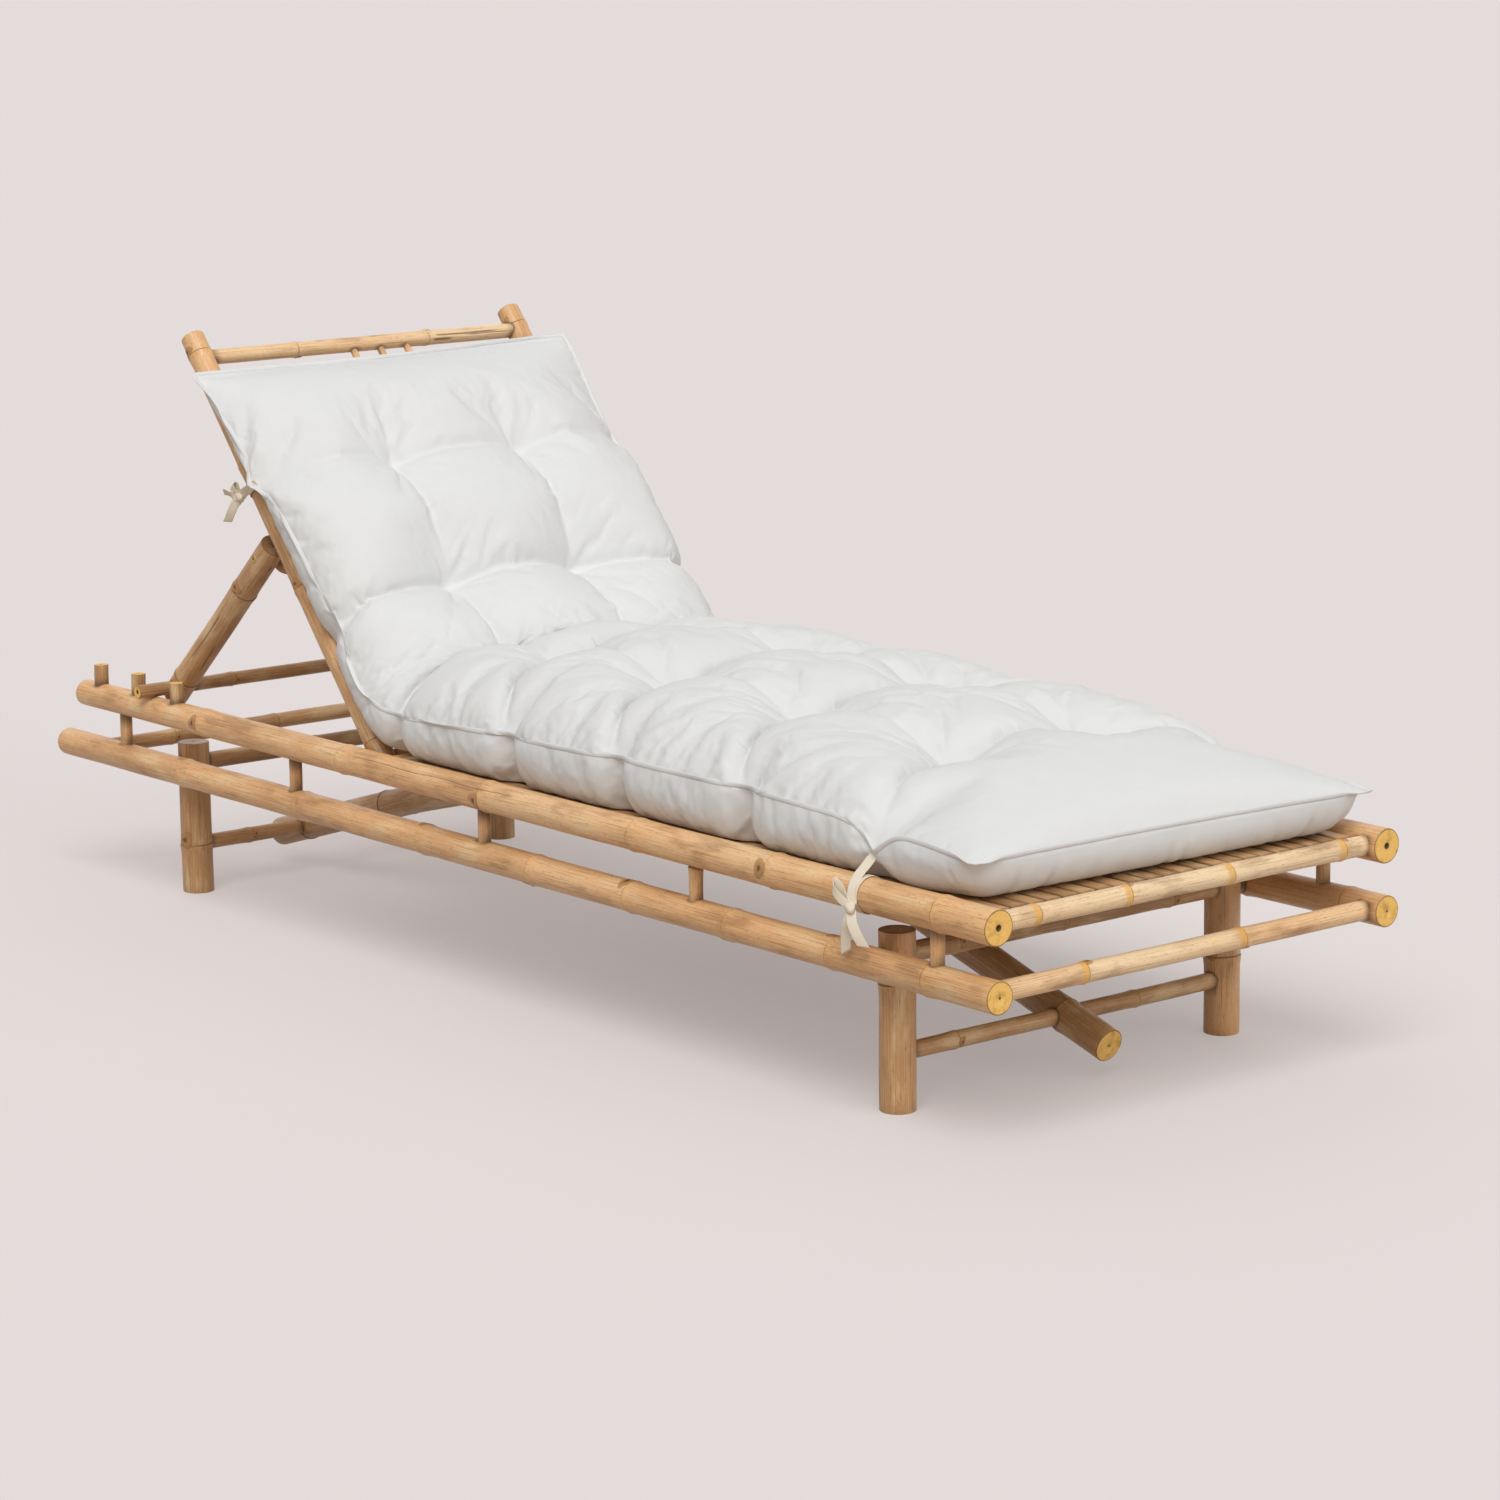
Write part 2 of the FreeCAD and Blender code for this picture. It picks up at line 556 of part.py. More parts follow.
def build():
    """All sub-parts, by node name."""
    parts = {
        "foot_cross_rail_upper": pole(*foot_rail_upper),
        "foot_cross_rail_lower": pole(*foot_rail_lower),
        "head_cross_rail": pole(*head_rail),
        "seat_head_rail": pole(*seat_head_rail),
        "hinge_bar": pole(*hinge_bar),
        "back_top_bar": pierced(pole(*top_bar), back_rods()),
        "back_rods": Part.makeCompound([pole(*rod) for rod in back_rods()]),
        "prop_pivot_rail": pierced(pole(*pivot_rail), [lock_pin(side) for side in SIDES]),
        "prop_foot_bar": pole(*prop_foot()),
        "seat_cushion": seat_cushion(),
        "back_cushion": back_cushion(),
    }
    for index in range(len(seat_rails)):
        parts[f"seat_rail_{index + 1}"] = seat_rail(index)
    slat_low = FOOT_RAIL_Y + FOOT_RAIL_D / 2 + SLAT_END_CLEARANCE
    slat_high = SEAT_HEAD_RAIL_Y - FOOT_RAIL_D / 2 - SLAT_END_CLEARANCE
    seat_width = 2 * (RAIL_X - upper_rail_radius(UPPER_FOOT_Y) - SLAT_SIDE_CLEARANCE)
    back_width = 2 * (STILE_X - STILE_D / 2 - SLAT_SIDE_CLEARANCE)
    back_slat_high = BACK_RAIL_HIGH + BACK_SLAT_OVERHANG
    parts["seat_slats"] = slat_row(on_seat_slats, seat_width, slat_low, slat_high)
    parts["back_slats"] = slat_row(on_back_slats, back_width, BACK_SLAT_LOW_END, back_slat_high)
    for end in LEG_Y:
        parts[f"leg_bar_{end}"] = pole(*leg_bars[end])
        parts[f"stretcher_{end}"] = pole(*stretchers[end])
        parts[f"brace_{end}"] = brace(end)
        for side in SIDES:
            parts[f"leg_{end}_{side}"] = leg(end, side)
    parts["brace_pins"] = Part.makeCompound([pole(*brace_pin(end)) for end in LEG_Y])
    pins = [hanger_pin(side) for side in SIDES]
    for name, rung in back_rails.items():
        lets = {"low": [], "mid": pins, "high": back_rods()}[name]
        parts[f"back_rail_{name}"] = pierced(pole(*rung), lets)
    parts["hanger_pins"] = Part.makeCompound([pole(*pin) for pin in pins])
    parts["prop_lock_pins"] = Part.makeCompound([pole(*lock_pin(side)) for side in SIDES])
    for side in SIDES:
        parts[f"upper_rail_{side}"] = upper_rail(side)
        parts[f"lower_rail_{side}"] = lower_rail(side)
        parts[f"notch_pegs_{side}"] = Part.makeCompound([pole(*peg) for peg in pegs(side)])
        parts[f"stile_{side}"] = stile(side)
        parts[f"prop_hanger_{side}"] = hanger(side)
        parts[f"prop_leg_{side}"] = prop_leg(side)
        parts[f"tie_front_{side}"] = tie_front(side)
        parts[f"tie_back_{side}"] = tie_back(side)
        for number, post in enumerate(posts(side), 1):
            parts[f"rail_post_{side}_{number}"] = pole(*post)
    return parts


os.makedirs("parts", exist_ok=True)
for node, shape in build().items():
    if not shape.isValid():
        raise ValueError(f"{node} is not a valid shape")
    shape.exportStep(f"parts/{node}.step")
    print(node, len(shape.Solids), round(shape.Volume / 1000.0, 1), "cm3")
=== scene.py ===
# %% [markdown]
# # A bamboo sun lounger
#
# The lounger is a bed of round bamboo poles with a hinged backrest, a prop that holds the backrest up, and
# one long tufted cushion tied to the poles. The construction model gives every pole's place and size. This
# lesson dresses it: it grows culms with node rings on the poles' axes, splits strips for the slats, sews
# and inflates the cushion, ties the bows, and finishes every surface.

# %% Load the construction
import json
import math

import bpy
import numpy as np
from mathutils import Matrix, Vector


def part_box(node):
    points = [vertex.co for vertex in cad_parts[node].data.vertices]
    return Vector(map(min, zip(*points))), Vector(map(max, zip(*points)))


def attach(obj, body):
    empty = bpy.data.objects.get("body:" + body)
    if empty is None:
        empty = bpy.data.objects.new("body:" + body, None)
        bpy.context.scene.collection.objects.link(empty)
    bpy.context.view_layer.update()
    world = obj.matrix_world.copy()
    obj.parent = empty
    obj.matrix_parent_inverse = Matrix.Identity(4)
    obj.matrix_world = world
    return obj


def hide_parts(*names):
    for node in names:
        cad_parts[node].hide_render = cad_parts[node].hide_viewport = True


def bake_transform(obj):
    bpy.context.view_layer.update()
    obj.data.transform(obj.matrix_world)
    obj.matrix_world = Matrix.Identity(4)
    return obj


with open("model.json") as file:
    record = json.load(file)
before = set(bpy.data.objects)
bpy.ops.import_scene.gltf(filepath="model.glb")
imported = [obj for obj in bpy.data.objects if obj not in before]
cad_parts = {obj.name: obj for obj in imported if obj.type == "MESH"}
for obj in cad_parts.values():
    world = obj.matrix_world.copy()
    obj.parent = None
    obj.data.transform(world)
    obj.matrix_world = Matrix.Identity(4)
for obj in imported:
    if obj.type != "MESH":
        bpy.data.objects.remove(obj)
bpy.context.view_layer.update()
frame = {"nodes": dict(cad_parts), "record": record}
MM = 0.001

# %% [markdown]
# ## The camera
#
# The picture was taken from the foot end, a little above the cushion, with a long lens. A camera could be
# placed by eye, but the poles' ends fix it: their places are known, so the camera that sees them where the
# picture does was worked out once. Its numbers are a place, three angles and a focal length in picture
# widths.

# %% Set the camera
CAMERA_PLACE = (-3.479, -4.4808, 1.4013)
CAMERA_AZIMUTH = -38.99
CAMERA_ELEVATION = 11.24
CAMERA_ROLL = 0.69
FOCAL_IN_PICTURE_WIDTHS = 2.9296
SENSOR_WIDTH_MM = 36.0
FURTHEST = 300.0


def camera_axes(azimuth, elevation, roll):
    """Right, up and back of a camera, as columns: back points from the object to the camera, right is
    level, and the roll turns right and up about back."""
    azimuth, elevation, roll = np.radians((azimuth, elevation, roll))
    level = math.cos(elevation)
    back = np.array((math.sin(azimuth) * level, -math.cos(azimuth) * level, math.sin(elevation)))
    right = np.array((math.cos(azimuth), math.sin(azimuth), 0.0))
    up = np.cross(back, right)
    rolled_right = right * math.cos(roll) - up * math.sin(roll)
    rolled_up = up * math.cos(roll) + right * math.sin(roll)
    return np.column_stack((rolled_right, rolled_up, back))


camera = bpy.data.objects.new("camera", bpy.data.cameras.new("camera"))
bpy.context.scene.collection.objects.link(camera)
camera.data.sensor_width = SENSOR_WIDTH_MM
camera.data.lens = SENSOR_WIDTH_MM * FOCAL_IN_PICTURE_WIDTHS
camera.data.clip_end = FURTHEST
placed = np.eye(4)
placed[:3, :3] = camera_axes(CAMERA_AZIMUTH, CAMERA_ELEVATION, CAMERA_ROLL)
placed[:3, 3] = CAMERA_PLACE
camera.matrix_world = placed.T.tolist()
bpy.context.scene.camera = camera
print("lens", round(camera.data.lens, 1), "mm")

# %% [markdown]
# ## Reading the poles
#
# Each pole is a round bar in the construction model. Its axis could be copied from that model's source, but
# the mesh already holds it. A level or upright pole runs along the longest side of its box. A sloping pole
# lies in a plane of constant X, and its slope follows from the box's height and depth once the diameter is
# known.

# %% Read a pole's axis from its node
END_SLICE = 1.5 * MM
PART_GAP = 1 * MM
SLOPE_ROUNDS = 40


def node_points(node):
    """All vertices of a construction node, as rows."""
    mesh = frame["nodes"][node].data
    flat = np.empty(3 * len(mesh.vertices), np.float32)
    mesh.vertices.foreach_get("co", flat)
    return flat.reshape(-1, 3).astype(float)


def solids_along(node, axis):
    """The points of each solid of a node, for solids that lie side by side along an axis. Each triangle
    covers an interval of the axis, and a new solid begins where no interval so far reaches."""
    mesh = frame["nodes"][node].data
    corners = np.empty(len(mesh.loops), np.int32)
    mesh.loops.foreach_get("vertex_index", corners)
    triangles = node_points(node)[corners.reshape(-1, 3)]
    low, high = triangles[:, :, axis].min(1), triangles[:, :, axis].max(1)
    order = np.argsort(low)
    reached = np.maximum.accumulate(high[order])
    breaks = np.flatnonzero(low[order][1:] > reached[:-1] + PART_GAP) + 1
    return [triangles[group].reshape(-1, 3) for group in np.split(order, breaks)]


def pole_axis(points, slope):
    """Start, end and the two end radii of a round pole. A pole of length L and diameter D that rises at
    angle a is L cos a + D sin a deep and L sin a + D cos a high, so the angle is the fixed point of tan a =
    (height - D cos a) / (depth - D sin a)."""
    low, high = points.min(0), points.max(0)
    size, middle = high - low, (low + high) / 2
    axis = np.eye(3)[size.argmax()]
    length = size.max()
    if slope:
        angle = math.atan2(size[2], size[1])
        for step in range(SLOPE_ROUNDS):
            rise = size[2] - size[0] * math.cos(angle)
            run = size[1] - size[0] * math.sin(angle)
            angle = math.atan2(rise, run)
        axis = np.array((0.0, slope * math.cos(angle), math.sin(angle)))
        length = math.hypot(rise, run)
    start = middle - axis * length / 2
    along = (points - start) @ axis
    away = np.linalg.norm(points - start - np.outer(along, axis), axis=1)
    radii = [away[abs(along - end) < END_SLICE].max() for end in (0.0, length)]
    return start, start + axis * length, radii


print("stile", [np.round(value, 4).tolist() for value in pole_axis(node_points("stile_right"), 1)])

# %% [markdown]
# ## What each pole looks like
#
# A culm is the stem of the bamboo plant. It is a tube with a solid wall at every node, and at each node a
# ring runs round it, with a bud on one side or the other by turns. The long rails show their rings clearly,
# so their places are written here in millimetres from the pole's low end. The other poles get rings at the
# plant's usual spacing, from a seeded draw. The tone runs from 0, pale straw, over tan, to 1, weathered
# brown.

# %% List the poles
SIDES = {"right": -1, "left": 1}
RISES_TO_HEAD = 1
RISES_TO_FOOT = -1
USUAL_LOOKS = {
    "spacing": 190.0, "bud_turn": 0.0, "band_mm": 3.6, "band": 0.36, "pith_mm": 1.3, "cuts": (),
    "end_dirt": 0.0,
}
poles = []


def list_pole(node, tone, rings=(), slope=0, groups=None, **looks):
    """Adds the solids of a node to the list of poles, with the looks that differ from the usual ones. Cuts
    are dark splits: from and to along the pole, angle round it, and half width, in mm and radians."""
    for part in [node_points(node)] if groups is None else solids_along(node, groups):
        start, end, radii = pole_axis(part, slope)
        poles.append({**USUAL_LOOKS, **looks, "node": node, "tone": tone, "rings": rings,
                      "start": start, "end": end, "radii": radii})


UPPER_RAIL_RINGS = (90, 382, 647, 955, 1275, 1622)
UPPER_LEFT_RINGS = (150, 430, 715, 1010, 1320, 1640)
LOWER_RAIL_RINGS = (110, 277, 467, 659, 860, 1098, 1385, 1681)
LOWER_LEFT_RINGS = (60, 228, 420, 640, 868, 1110, 1402, 1700)
UPPER_FOOT_RINGS = (72, 214, 377, 563)
LOWER_FOOT_RINGS = (147, 397)
STILE_RINGS = (46, 293, 497, 676)
TOP_BAR_RINGS = (152, 372)
PROP_LEG_RINGS = (45, 257)
PROP_FOOT_RINGS = (155, 368, 520)
STRETCHER_RINGS = (87, 377)
BRACE_RINGS = (78, 290, 480)
FRONT_LEG_RINGS = {"right": (152,), "left": (98,)}
REAR_LEG_RINGS = (68,)
QUARTER = math.pi / 2

PROP_LEG_CUTS = ((95, 212, 0.15, 1.5), (80, 156, 1.25, 1.5), (314, 346, 1.5, 2.6))
TOP_BAR_CUTS = ((378, 500, -0.35, 1.6), (374, 420, 0.2, 2.4), (430, 520, -0.05, 0.9))
UPPER_RAIL_CUTS = ((455, 462, 2.75, 1.0), (880, 1250, -2.5, 0.7), (1395, 1412, 2.7, 0.9))
PROP_LEG_LOOKS = {"cuts": PROP_LEG_CUTS, "end_dirt": 0.6, "bud_turn": math.pi}
GOLDEN = {"band_mm": 6.0, "band": 1.0}

list_pole("upper_rail_right", 0.50, UPPER_RAIL_RINGS, pith_mm=3.4, cuts=UPPER_RAIL_CUTS)
list_pole("upper_rail_left", 0.52, UPPER_LEFT_RINGS, pith_mm=3.4)
list_pole("lower_rail_right", 0.56, LOWER_RAIL_RINGS, bud_turn=QUARTER)
list_pole("lower_rail_left", 0.56, LOWER_LEFT_RINGS, bud_turn=QUARTER)
list_pole("foot_cross_rail_upper", 0.05, UPPER_FOOT_RINGS, bud_turn=QUARTER, **GOLDEN)
list_pole("foot_cross_rail_lower", 0.24, LOWER_FOOT_RINGS, bud_turn=-QUARTER, **GOLDEN)
list_pole("head_cross_rail", 0.84)
list_pole("seat_head_rail", 0.70)
list_pole("hinge_bar", 0.70)
list_pole("back_top_bar", 0.28, TOP_BAR_RINGS, bud_turn=QUARTER, cuts=TOP_BAR_CUTS)
list_pole("back_rods", 0.55, slope=RISES_TO_HEAD, groups=0)
list_pole("prop_pivot_rail", 0.80)
list_pole("prop_foot_bar", 0.95, PROP_FOOT_RINGS, pith_mm=2.6)
for index in range(4):
    list_pole(f"seat_rail_{index + 1}", 0.85)
for name in ("low", "mid", "high"):
    list_pole(f"back_rail_{name}", 0.75)
for end, slope in (("front", RISES_TO_HEAD), ("rear", RISES_TO_FOOT)):
    list_pole(f"leg_bar_{end}", 0.90)
    list_pole(f"stretcher_{end}", 0.76, STRETCHER_RINGS)
    list_pole(f"brace_{end}", 0.86, BRACE_RINGS, slope=slope)
for side in SIDES:
    list_pole(f"leg_front_{side}", 0.66, FRONT_LEG_RINGS[side], end_dirt=0.55)
    list_pole(f"leg_rear_{side}", 0.80, REAR_LEG_RINGS, end_dirt=0.45)
    list_pole(f"stile_{side}", 0.68, STILE_RINGS, slope=RISES_TO_HEAD)
    list_pole(f"prop_hanger_{side}", 0.76, slope=RISES_TO_FOOT)
    list_pole(f"prop_leg_{side}", 0.76, PROP_LEG_RINGS, slope=RISES_TO_FOOT, **PROP_LEG_LOOKS)
    list_pole(f"notch_pegs_{side}", 0.88, groups=1)
    for index in range(5):
        list_pole(f"rail_post_{side}_{index + 1}", 0.68)
list_pole("prop_lock_pins", 0.15, slope=RISES_TO_HEAD, groups=0, pith_mm=2.4)
print(len(poles), "poles")

# %% [markdown]
# ## Growing a culm
#
# A culm could be a cylinder with a bump map, but its outline would stay straight, and the swelling at the
# nodes is what makes bamboo read as bamboo. So each culm is a surface of two parameters, the distance along
# the axis and the angle round it. A few plain curves shape it: a bell for rings, a soft step for ends, and
# the angle between two directions.

# %% Curves that shape a culm
def bell(distance, reach):
    """A bell curve: 1 at no distance, falling off as the square of distance over reach."""
    return np.exp(-(distance / reach) ** 2)


def smoothstep(share):
    """3 times the square less twice the cube of a share, held at 0 before 0 and at 1 after 1."""
    share = np.clip(share, 0, 1)
    return share * share * (3 - 2 * share)


def turn_from(angle, other):
    """The angle from another angle, between minus and plus half a turn."""
    return (angle - other + math.pi) % (2 * math.pi) - math.pi


def unit_rows(vectors):
    """Each row at length 1."""
    return vectors / np.maximum(np.linalg.norm(vectors, axis=-1, keepdims=True), 1e-12)


print("a bell is", round(float(bell(1.0, 2.0)), 2), "high at half its reach")

# %% [markdown]
# Two marks lie on the skin. A bud is an oval with a pit, just above a ring, by turns on one side of the
# culm and the other. A split is a dark crack where the rind dried out. Each is a share from 0 to 1, which
# shapes the radius here and colours the skin later.

# %% Buds and splits
BUD_SHARE = 0.68
BUD_ABOVE = 0.62
BUD_SQUAT = 1.15
BUD_RAGGED = 0.16
CUT_TAPER = 14 * MM
CUT_SWAY = 0.05
CUT_SWAY_LENGTH = 23 * MM


def bud_share(away, angle, bud_angle, radius, phase):
    """How far inside a bud each point lies, from 0 at its edge to 1 in its middle: an oval above the ring,
    with a size in shares of the radius, whose outline waves three times round."""
    size = BUD_SHARE * radius
    aside = turn_from(angle, bud_angle) * radius / size
    above = away / size - BUD_ABOVE
    ragged = 1 + BUD_RAGGED * np.sin(3 * np.arctan2(aside, above) + phase)
    return np.clip(1 - np.hypot(BUD_SQUAT * above, aside) * ragged, 0, 1)


def split_share(along, angle, radius, cut):
    """How far inside a split each point lies: a bell curve across its swaying line, tapered at both
    ends."""
    low, high, cut_angle, half_width = cut
    shown = smoothstep((along - low * MM) / CUT_TAPER) * smoothstep((high * MM - along) / CUT_TAPER)
    sway = CUT_SWAY * np.sin(along / CUT_SWAY_LENGTH + low)
    return shown * bell(turn_from(angle, cut_angle + sway) * radius, half_width * MM)


print("buds", BUD_SHARE, "of the radius, splits taper over", CUT_TAPER / MM, "mm")

# %% [markdown]
# At a node the culm swells. Below the ring a lip stands out where the sheath of the leaf once sat, and just
# above the lip lies the thin scar that the sheath left. No ring is quite square to the axis, and no culm is
# quite round.

# %% The culm's radius
OVALITY = 0.012
WAVE_RISE = 0.16 * MM
WAVE_LENGTH = 31 * MM
RING_WOBBLE = 1.1 * MM
RING_TURN = 2.4
RING_SWELL = 0.030
RING_REACH = 9 * MM
LIP_RISE = 0.85 * MM
LIP_FALL = 8 * MM
SCAR_DEPTH = 0.55 * MM
SCAR_REACH = 0.9 * MM
BUD_STRAY = 0.25
BUD_RISE = 1.1 * MM
BUD_PIT = 1.4 * MM
CUT_DEPTH = 0.8 * MM


def culm_radius(along, angle, radius, rings, pole, draw):
    """Radius of the culm and its marks, on the grid of distances along and angles round. The radius is the
    pole's own, slightly oval and wavy. Each ring swells it by a bell curve, the lip below the ring falls
    off as an exponential, the scar is a thin dip, and every ring tilts a little and carries a bud."""
    phases = draw.uniform(0, 2 * math.pi, 4)
    shape = radius * (1 + OVALITY * np.cos(2 * angle + phases[0]))
    shape = shape + WAVE_RISE * np.sin(along / WAVE_LENGTH + 2 * np.sin(angle + phases[1]) + phases[2])
    scar, band, bud = np.zeros((3, *np.broadcast(along, angle).shape))
    band_reach = pole["band_mm"] * MM
    for index, place in enumerate(rings):
        away = along - place - RING_WOBBLE * np.cos(angle + phases[3] + RING_TURN * index)
        bud_angle = math.pi * (index % 2) + pole["bud_turn"] + draw.uniform(-BUD_STRAY, BUD_STRAY)
        on_bud = bud_share(away, angle, bud_angle, radius, phases[0] + index)
        lip = np.where(away < 0, np.exp(np.minimum(away, 0) / LIP_FALL), bell(away, SCAR_REACH))
        shape = shape + radius * RING_SWELL * bell(away, RING_REACH) + LIP_RISE * lip
        shape = shape - SCAR_DEPTH * bell(away - SCAR_REACH, SCAR_REACH)
        shape = shape + BUD_RISE * smoothstep(2 * on_bud) - BUD_PIT * smoothstep(4 * on_bud - 2.9)
        scar = np.maximum(scar, bell(away - 0.7 * SCAR_REACH, 1.3 * SCAR_REACH))
        band = np.maximum(band, pole["band"] * bell(away + 0.6 * band_reach, band_reach))
        bud = np.maximum(bud, on_bud)
    for cut in pole["cuts"]:
        split = split_share(along, angle, radius, cut)
        shape = shape - CUT_DEPTH * split
        scar = np.maximum(scar, split)
    return shape, scar, band, bud


print("rings swell by", RING_SWELL, "of the radius")

# %% [markdown]
# The rows of the grid crowd together at the rings, where the shape changes fast. At both ends they fold
# over the cut face and down into the pith hole, so that the mesh is closed.

# %% The culm's rows
ROW_STEP = 14 * MM
RING_ROWS = np.array((0, 0.5, 1, 1.6, 2.3, 3.1, 4, 5, 6.2, 7.6, 9.2, 11, 13, 15.2, 17.5, 20, 23, 27)) * MM
FIRST_RING = (0.25, 0.75)
RING_STRETCH = (0.9, 1.1)
CHAMFER = 0.9 * MM
PITH_DEPTH = 7 * MM
PITH_RIM = 0.3 * MM
WIDEST_PITH = 0.4


def ring_places(pole, length, draw):
    """Places of the rings along a pole, in metres: the listed ones, or else evenly spaced ones from a
    draw."""
    rings = np.array(pole["rings"]) * MM
    if not len(rings):
        first = draw.uniform(*FIRST_RING) * pole["spacing"]
        rings = (first + np.arange(0, length / MM, pole["spacing"]) * draw.uniform(*RING_STRETCH)) * MM
    return rings[(rings > 3 * CHAMFER) & (rings < length - 3 * CHAMFER)]


def culm_rows(length, radius, rings, pith):
    """Distance along the axis and share of the radius of every row, as columns: down one end's pith hole,
    across its cut face and chamfer, along the side, and the same at the other end."""
    steps = np.linspace(CHAMFER, length - CHAMFER, max(4, int(length / ROW_STEP)))
    crowd = (rings[:, None] + np.concatenate((-RING_ROWS, RING_ROWS))).ravel()
    crowd = crowd[(crowd > CHAMFER) & (crowd < length - CHAMFER)]
    side = np.unique(np.round(np.concatenate((steps, crowd)), 5))
    hole = min(pith / radius, WIDEST_PITH)
    rim = 1 - CHAMFER / radius
    face_along = np.array((PITH_DEPTH, PITH_RIM, 0, 0, 0, 0, 0.3 * CHAMFER))
    face_share = np.array((hole, hole, 1.2 * hole, 0.55, 0.88, rim, (2 + rim) / 3))
    along = np.concatenate((face_along, side, length - face_along[::-1]))
    share = np.concatenate((face_share, np.ones(len(side)), face_share[::-1]))
    return along[:, None], share[:, None]


print("rows every", ROW_STEP / MM, "mm between the rings")

# %% [markdown]
# Two more marks are worked out from the neighbours and from a draw. Dirt and painted contact shade gather
# where poles meet, and on the cut faces, with painted shade inside the pith hole. The tone of the skin
# changes a little at every ring, because each length between two nodes grew and dried by itself.

# %% Dirt, painted shade and tone
# How far dirt and painted contact shade reach from where two poles meet.
DIRT_AND_SHADE_REACH = 2.5 * MM
# Per row of a cut face, from the pith hole's bottom out to the chamfer: painted shade in the hole, darker
# rim.
FACE_DIRT_AND_SHADE = (1, 1, 0.35, 0, 0, 0.75, 0.75)
FACE_ROWS = len(FACE_DIRT_AND_SHADE)
TONE_STEP = 0.07
TONE_SWAY = 0.05
TONE_WAVE = 67 * MM
TONE_TWIST = 260 * MM
DARKEST = 1.2


def gap_to_pole(points, pole):
    """Distance from each point to the surface of another pole: to its axis, less its radius."""
    run = pole["end"] - pole["start"]
    share = np.clip((points - pole["start"]) @ run / (run @ run), 0, 1)
    nearest = pole["start"] + share[..., None] * run
    return np.linalg.norm(points - nearest, axis=-1) - max(pole["radii"])


def culm_dirt_and_shade(points, pole, neighbours):
    """Dirt and painted shade near other poles, by a bell curve of the gap to them, and on the rows of the
    cut faces.
    """
    dirt_and_shade = np.zeros(points.shape[:2])
    for near in neighbours:
        if near is not pole:
            dirt_and_shade = np.maximum(dirt_and_shade, bell(np.maximum(gap_to_pole(points, near), 0), DIRT_AND_SHADE_REACH))
    face = np.maximum(FACE_DIRT_AND_SHADE, pole["end_dirt"])[:, None]
    dirt_and_shade[:FACE_ROWS] = np.maximum(face, dirt_and_shade[:FACE_ROWS])
    dirt_and_shade[-FACE_ROWS:] = np.maximum(face[::-1], dirt_and_shade[-FACE_ROWS:])
    return dirt_and_shade


def culm_tone(along, angle, pole, rings, draw):
    """Tone from straw to brown: the pole's own, a step at every ring, and slow waves along and round the
    culm."""
    steps = draw.uniform(-TONE_STEP, TONE_STEP, len(rings) + 1)
    tone = pole["tone"] + steps[np.searchsorted(rings, along)]
    tone = tone + TONE_SWAY * np.sin(along / TONE_WAVE + draw.uniform(0, 6))
    tone = tone + TONE_SWAY * np.cos(angle + along / TONE_TWIST + draw.uniform(0, 6))
    return np.clip(tone, 0, DARKEST)


print("dirt reaches", DIRT_AND_SHADE_REACH / MM, "mm from a joint")

# %% [markdown]
# Now the grid can be laid round the axis. A slight crook bends each culm off its straight line. The faces
# of such a tube are the same for every piece that is closed round, so one function numbers them.

# %% The culm as arrays
COLUMN_STEP = 1.8 * MM
CUT_COLUMN_STEP = 0.9 * MM
FEWEST_COLUMNS = 20
CROOK = 0.8 * MM


def tube_faces(rows, columns, closed=False):
    """Quads of a grid that is closed round its columns, with a cap at either end, or no caps where its rows
    close too."""
    index = np.arange(rows * columns).reshape(rows, columns)
    index = np.concatenate((index, index[:1])) if closed else index
    across = np.roll(index, -1, 1)
    quads = np.stack((index[:-1], across[:-1], across[1:], index[1:]), -1).reshape(-1, 4)
    return {"quads": quads, "caps": () if closed else (index[0, ::-1], index[-1])}


def culm_arrays(pole, neighbours, draw):
    """Points, faces and marks of one culm: every row is a circle about the axis, with the culm's radius
    there times the row's share of it, moved aside by the crook."""
    run = pole["end"] - pole["start"]
    length = np.linalg.norm(run)
    axis = run / length
    radius = float(np.mean(pole["radii"]))
    rings = ring_places(pole, length, draw)
    along, share = culm_rows(length, radius, rings, pole["pith_mm"] * MM)
    column_step = CUT_COLUMN_STEP if pole["cuts"] else COLUMN_STEP
    columns = max(FEWEST_COLUMNS, int(2 * math.pi * radius / column_step))
    angle = np.linspace(0, 2 * math.pi, columns, endpoint=False)[None, :]
    taper = pole["radii"][0] + (pole["radii"][1] - pole["radii"][0]) * along / length
    shape, scar, band, bud = culm_radius(along, angle, taper, rings, pole, draw)
    across = unit_rows(np.cross(axis, (0, 0, 1) if abs(axis[2]) < 0.9 else (0, 1, 0)))
    other = np.cross(axis, across)
    bent = np.sin(math.pi * along / length) * np.sin(along / (0.37 * length + 0.05) + draw.uniform(0, 6))
    x = shape * share * np.cos(angle)
    y = shape * share * np.sin(angle)
    points = pole["start"] + along[..., None] * axis
    points = points + (x + CROOK * bent)[..., None] * across + y[..., None] * other
    dirt_and_shade = culm_dirt_and_shade(points, pole, neighbours)
    tone = culm_tone(along, angle, pole, rings, draw)
    grain = np.stack(np.broadcast_arrays(x, y, along + draw.uniform(0, 9)), -1)
    sawn = 0 if pole["end_dirt"] else 1
    on_face = np.zeros((len(along) - 1, columns), int)
    on_face[:FACE_ROWS - 1] = sawn
    on_face[1 - FACE_ROWS:] = sawn
    return {
        **tube_faces(len(along), columns), "points": points.reshape(-1, 3), "grain": grain.reshape(-1, 3),
        "marks": np.stack((scar, band, bud, dirt_and_shade), -1).reshape(-1, 4), "tone": tone.ravel(),
        "material": np.append(on_face.ravel(), (sawn, sawn)),
    }


print("columns every", COLUMN_STEP / MM, "mm round a culm")
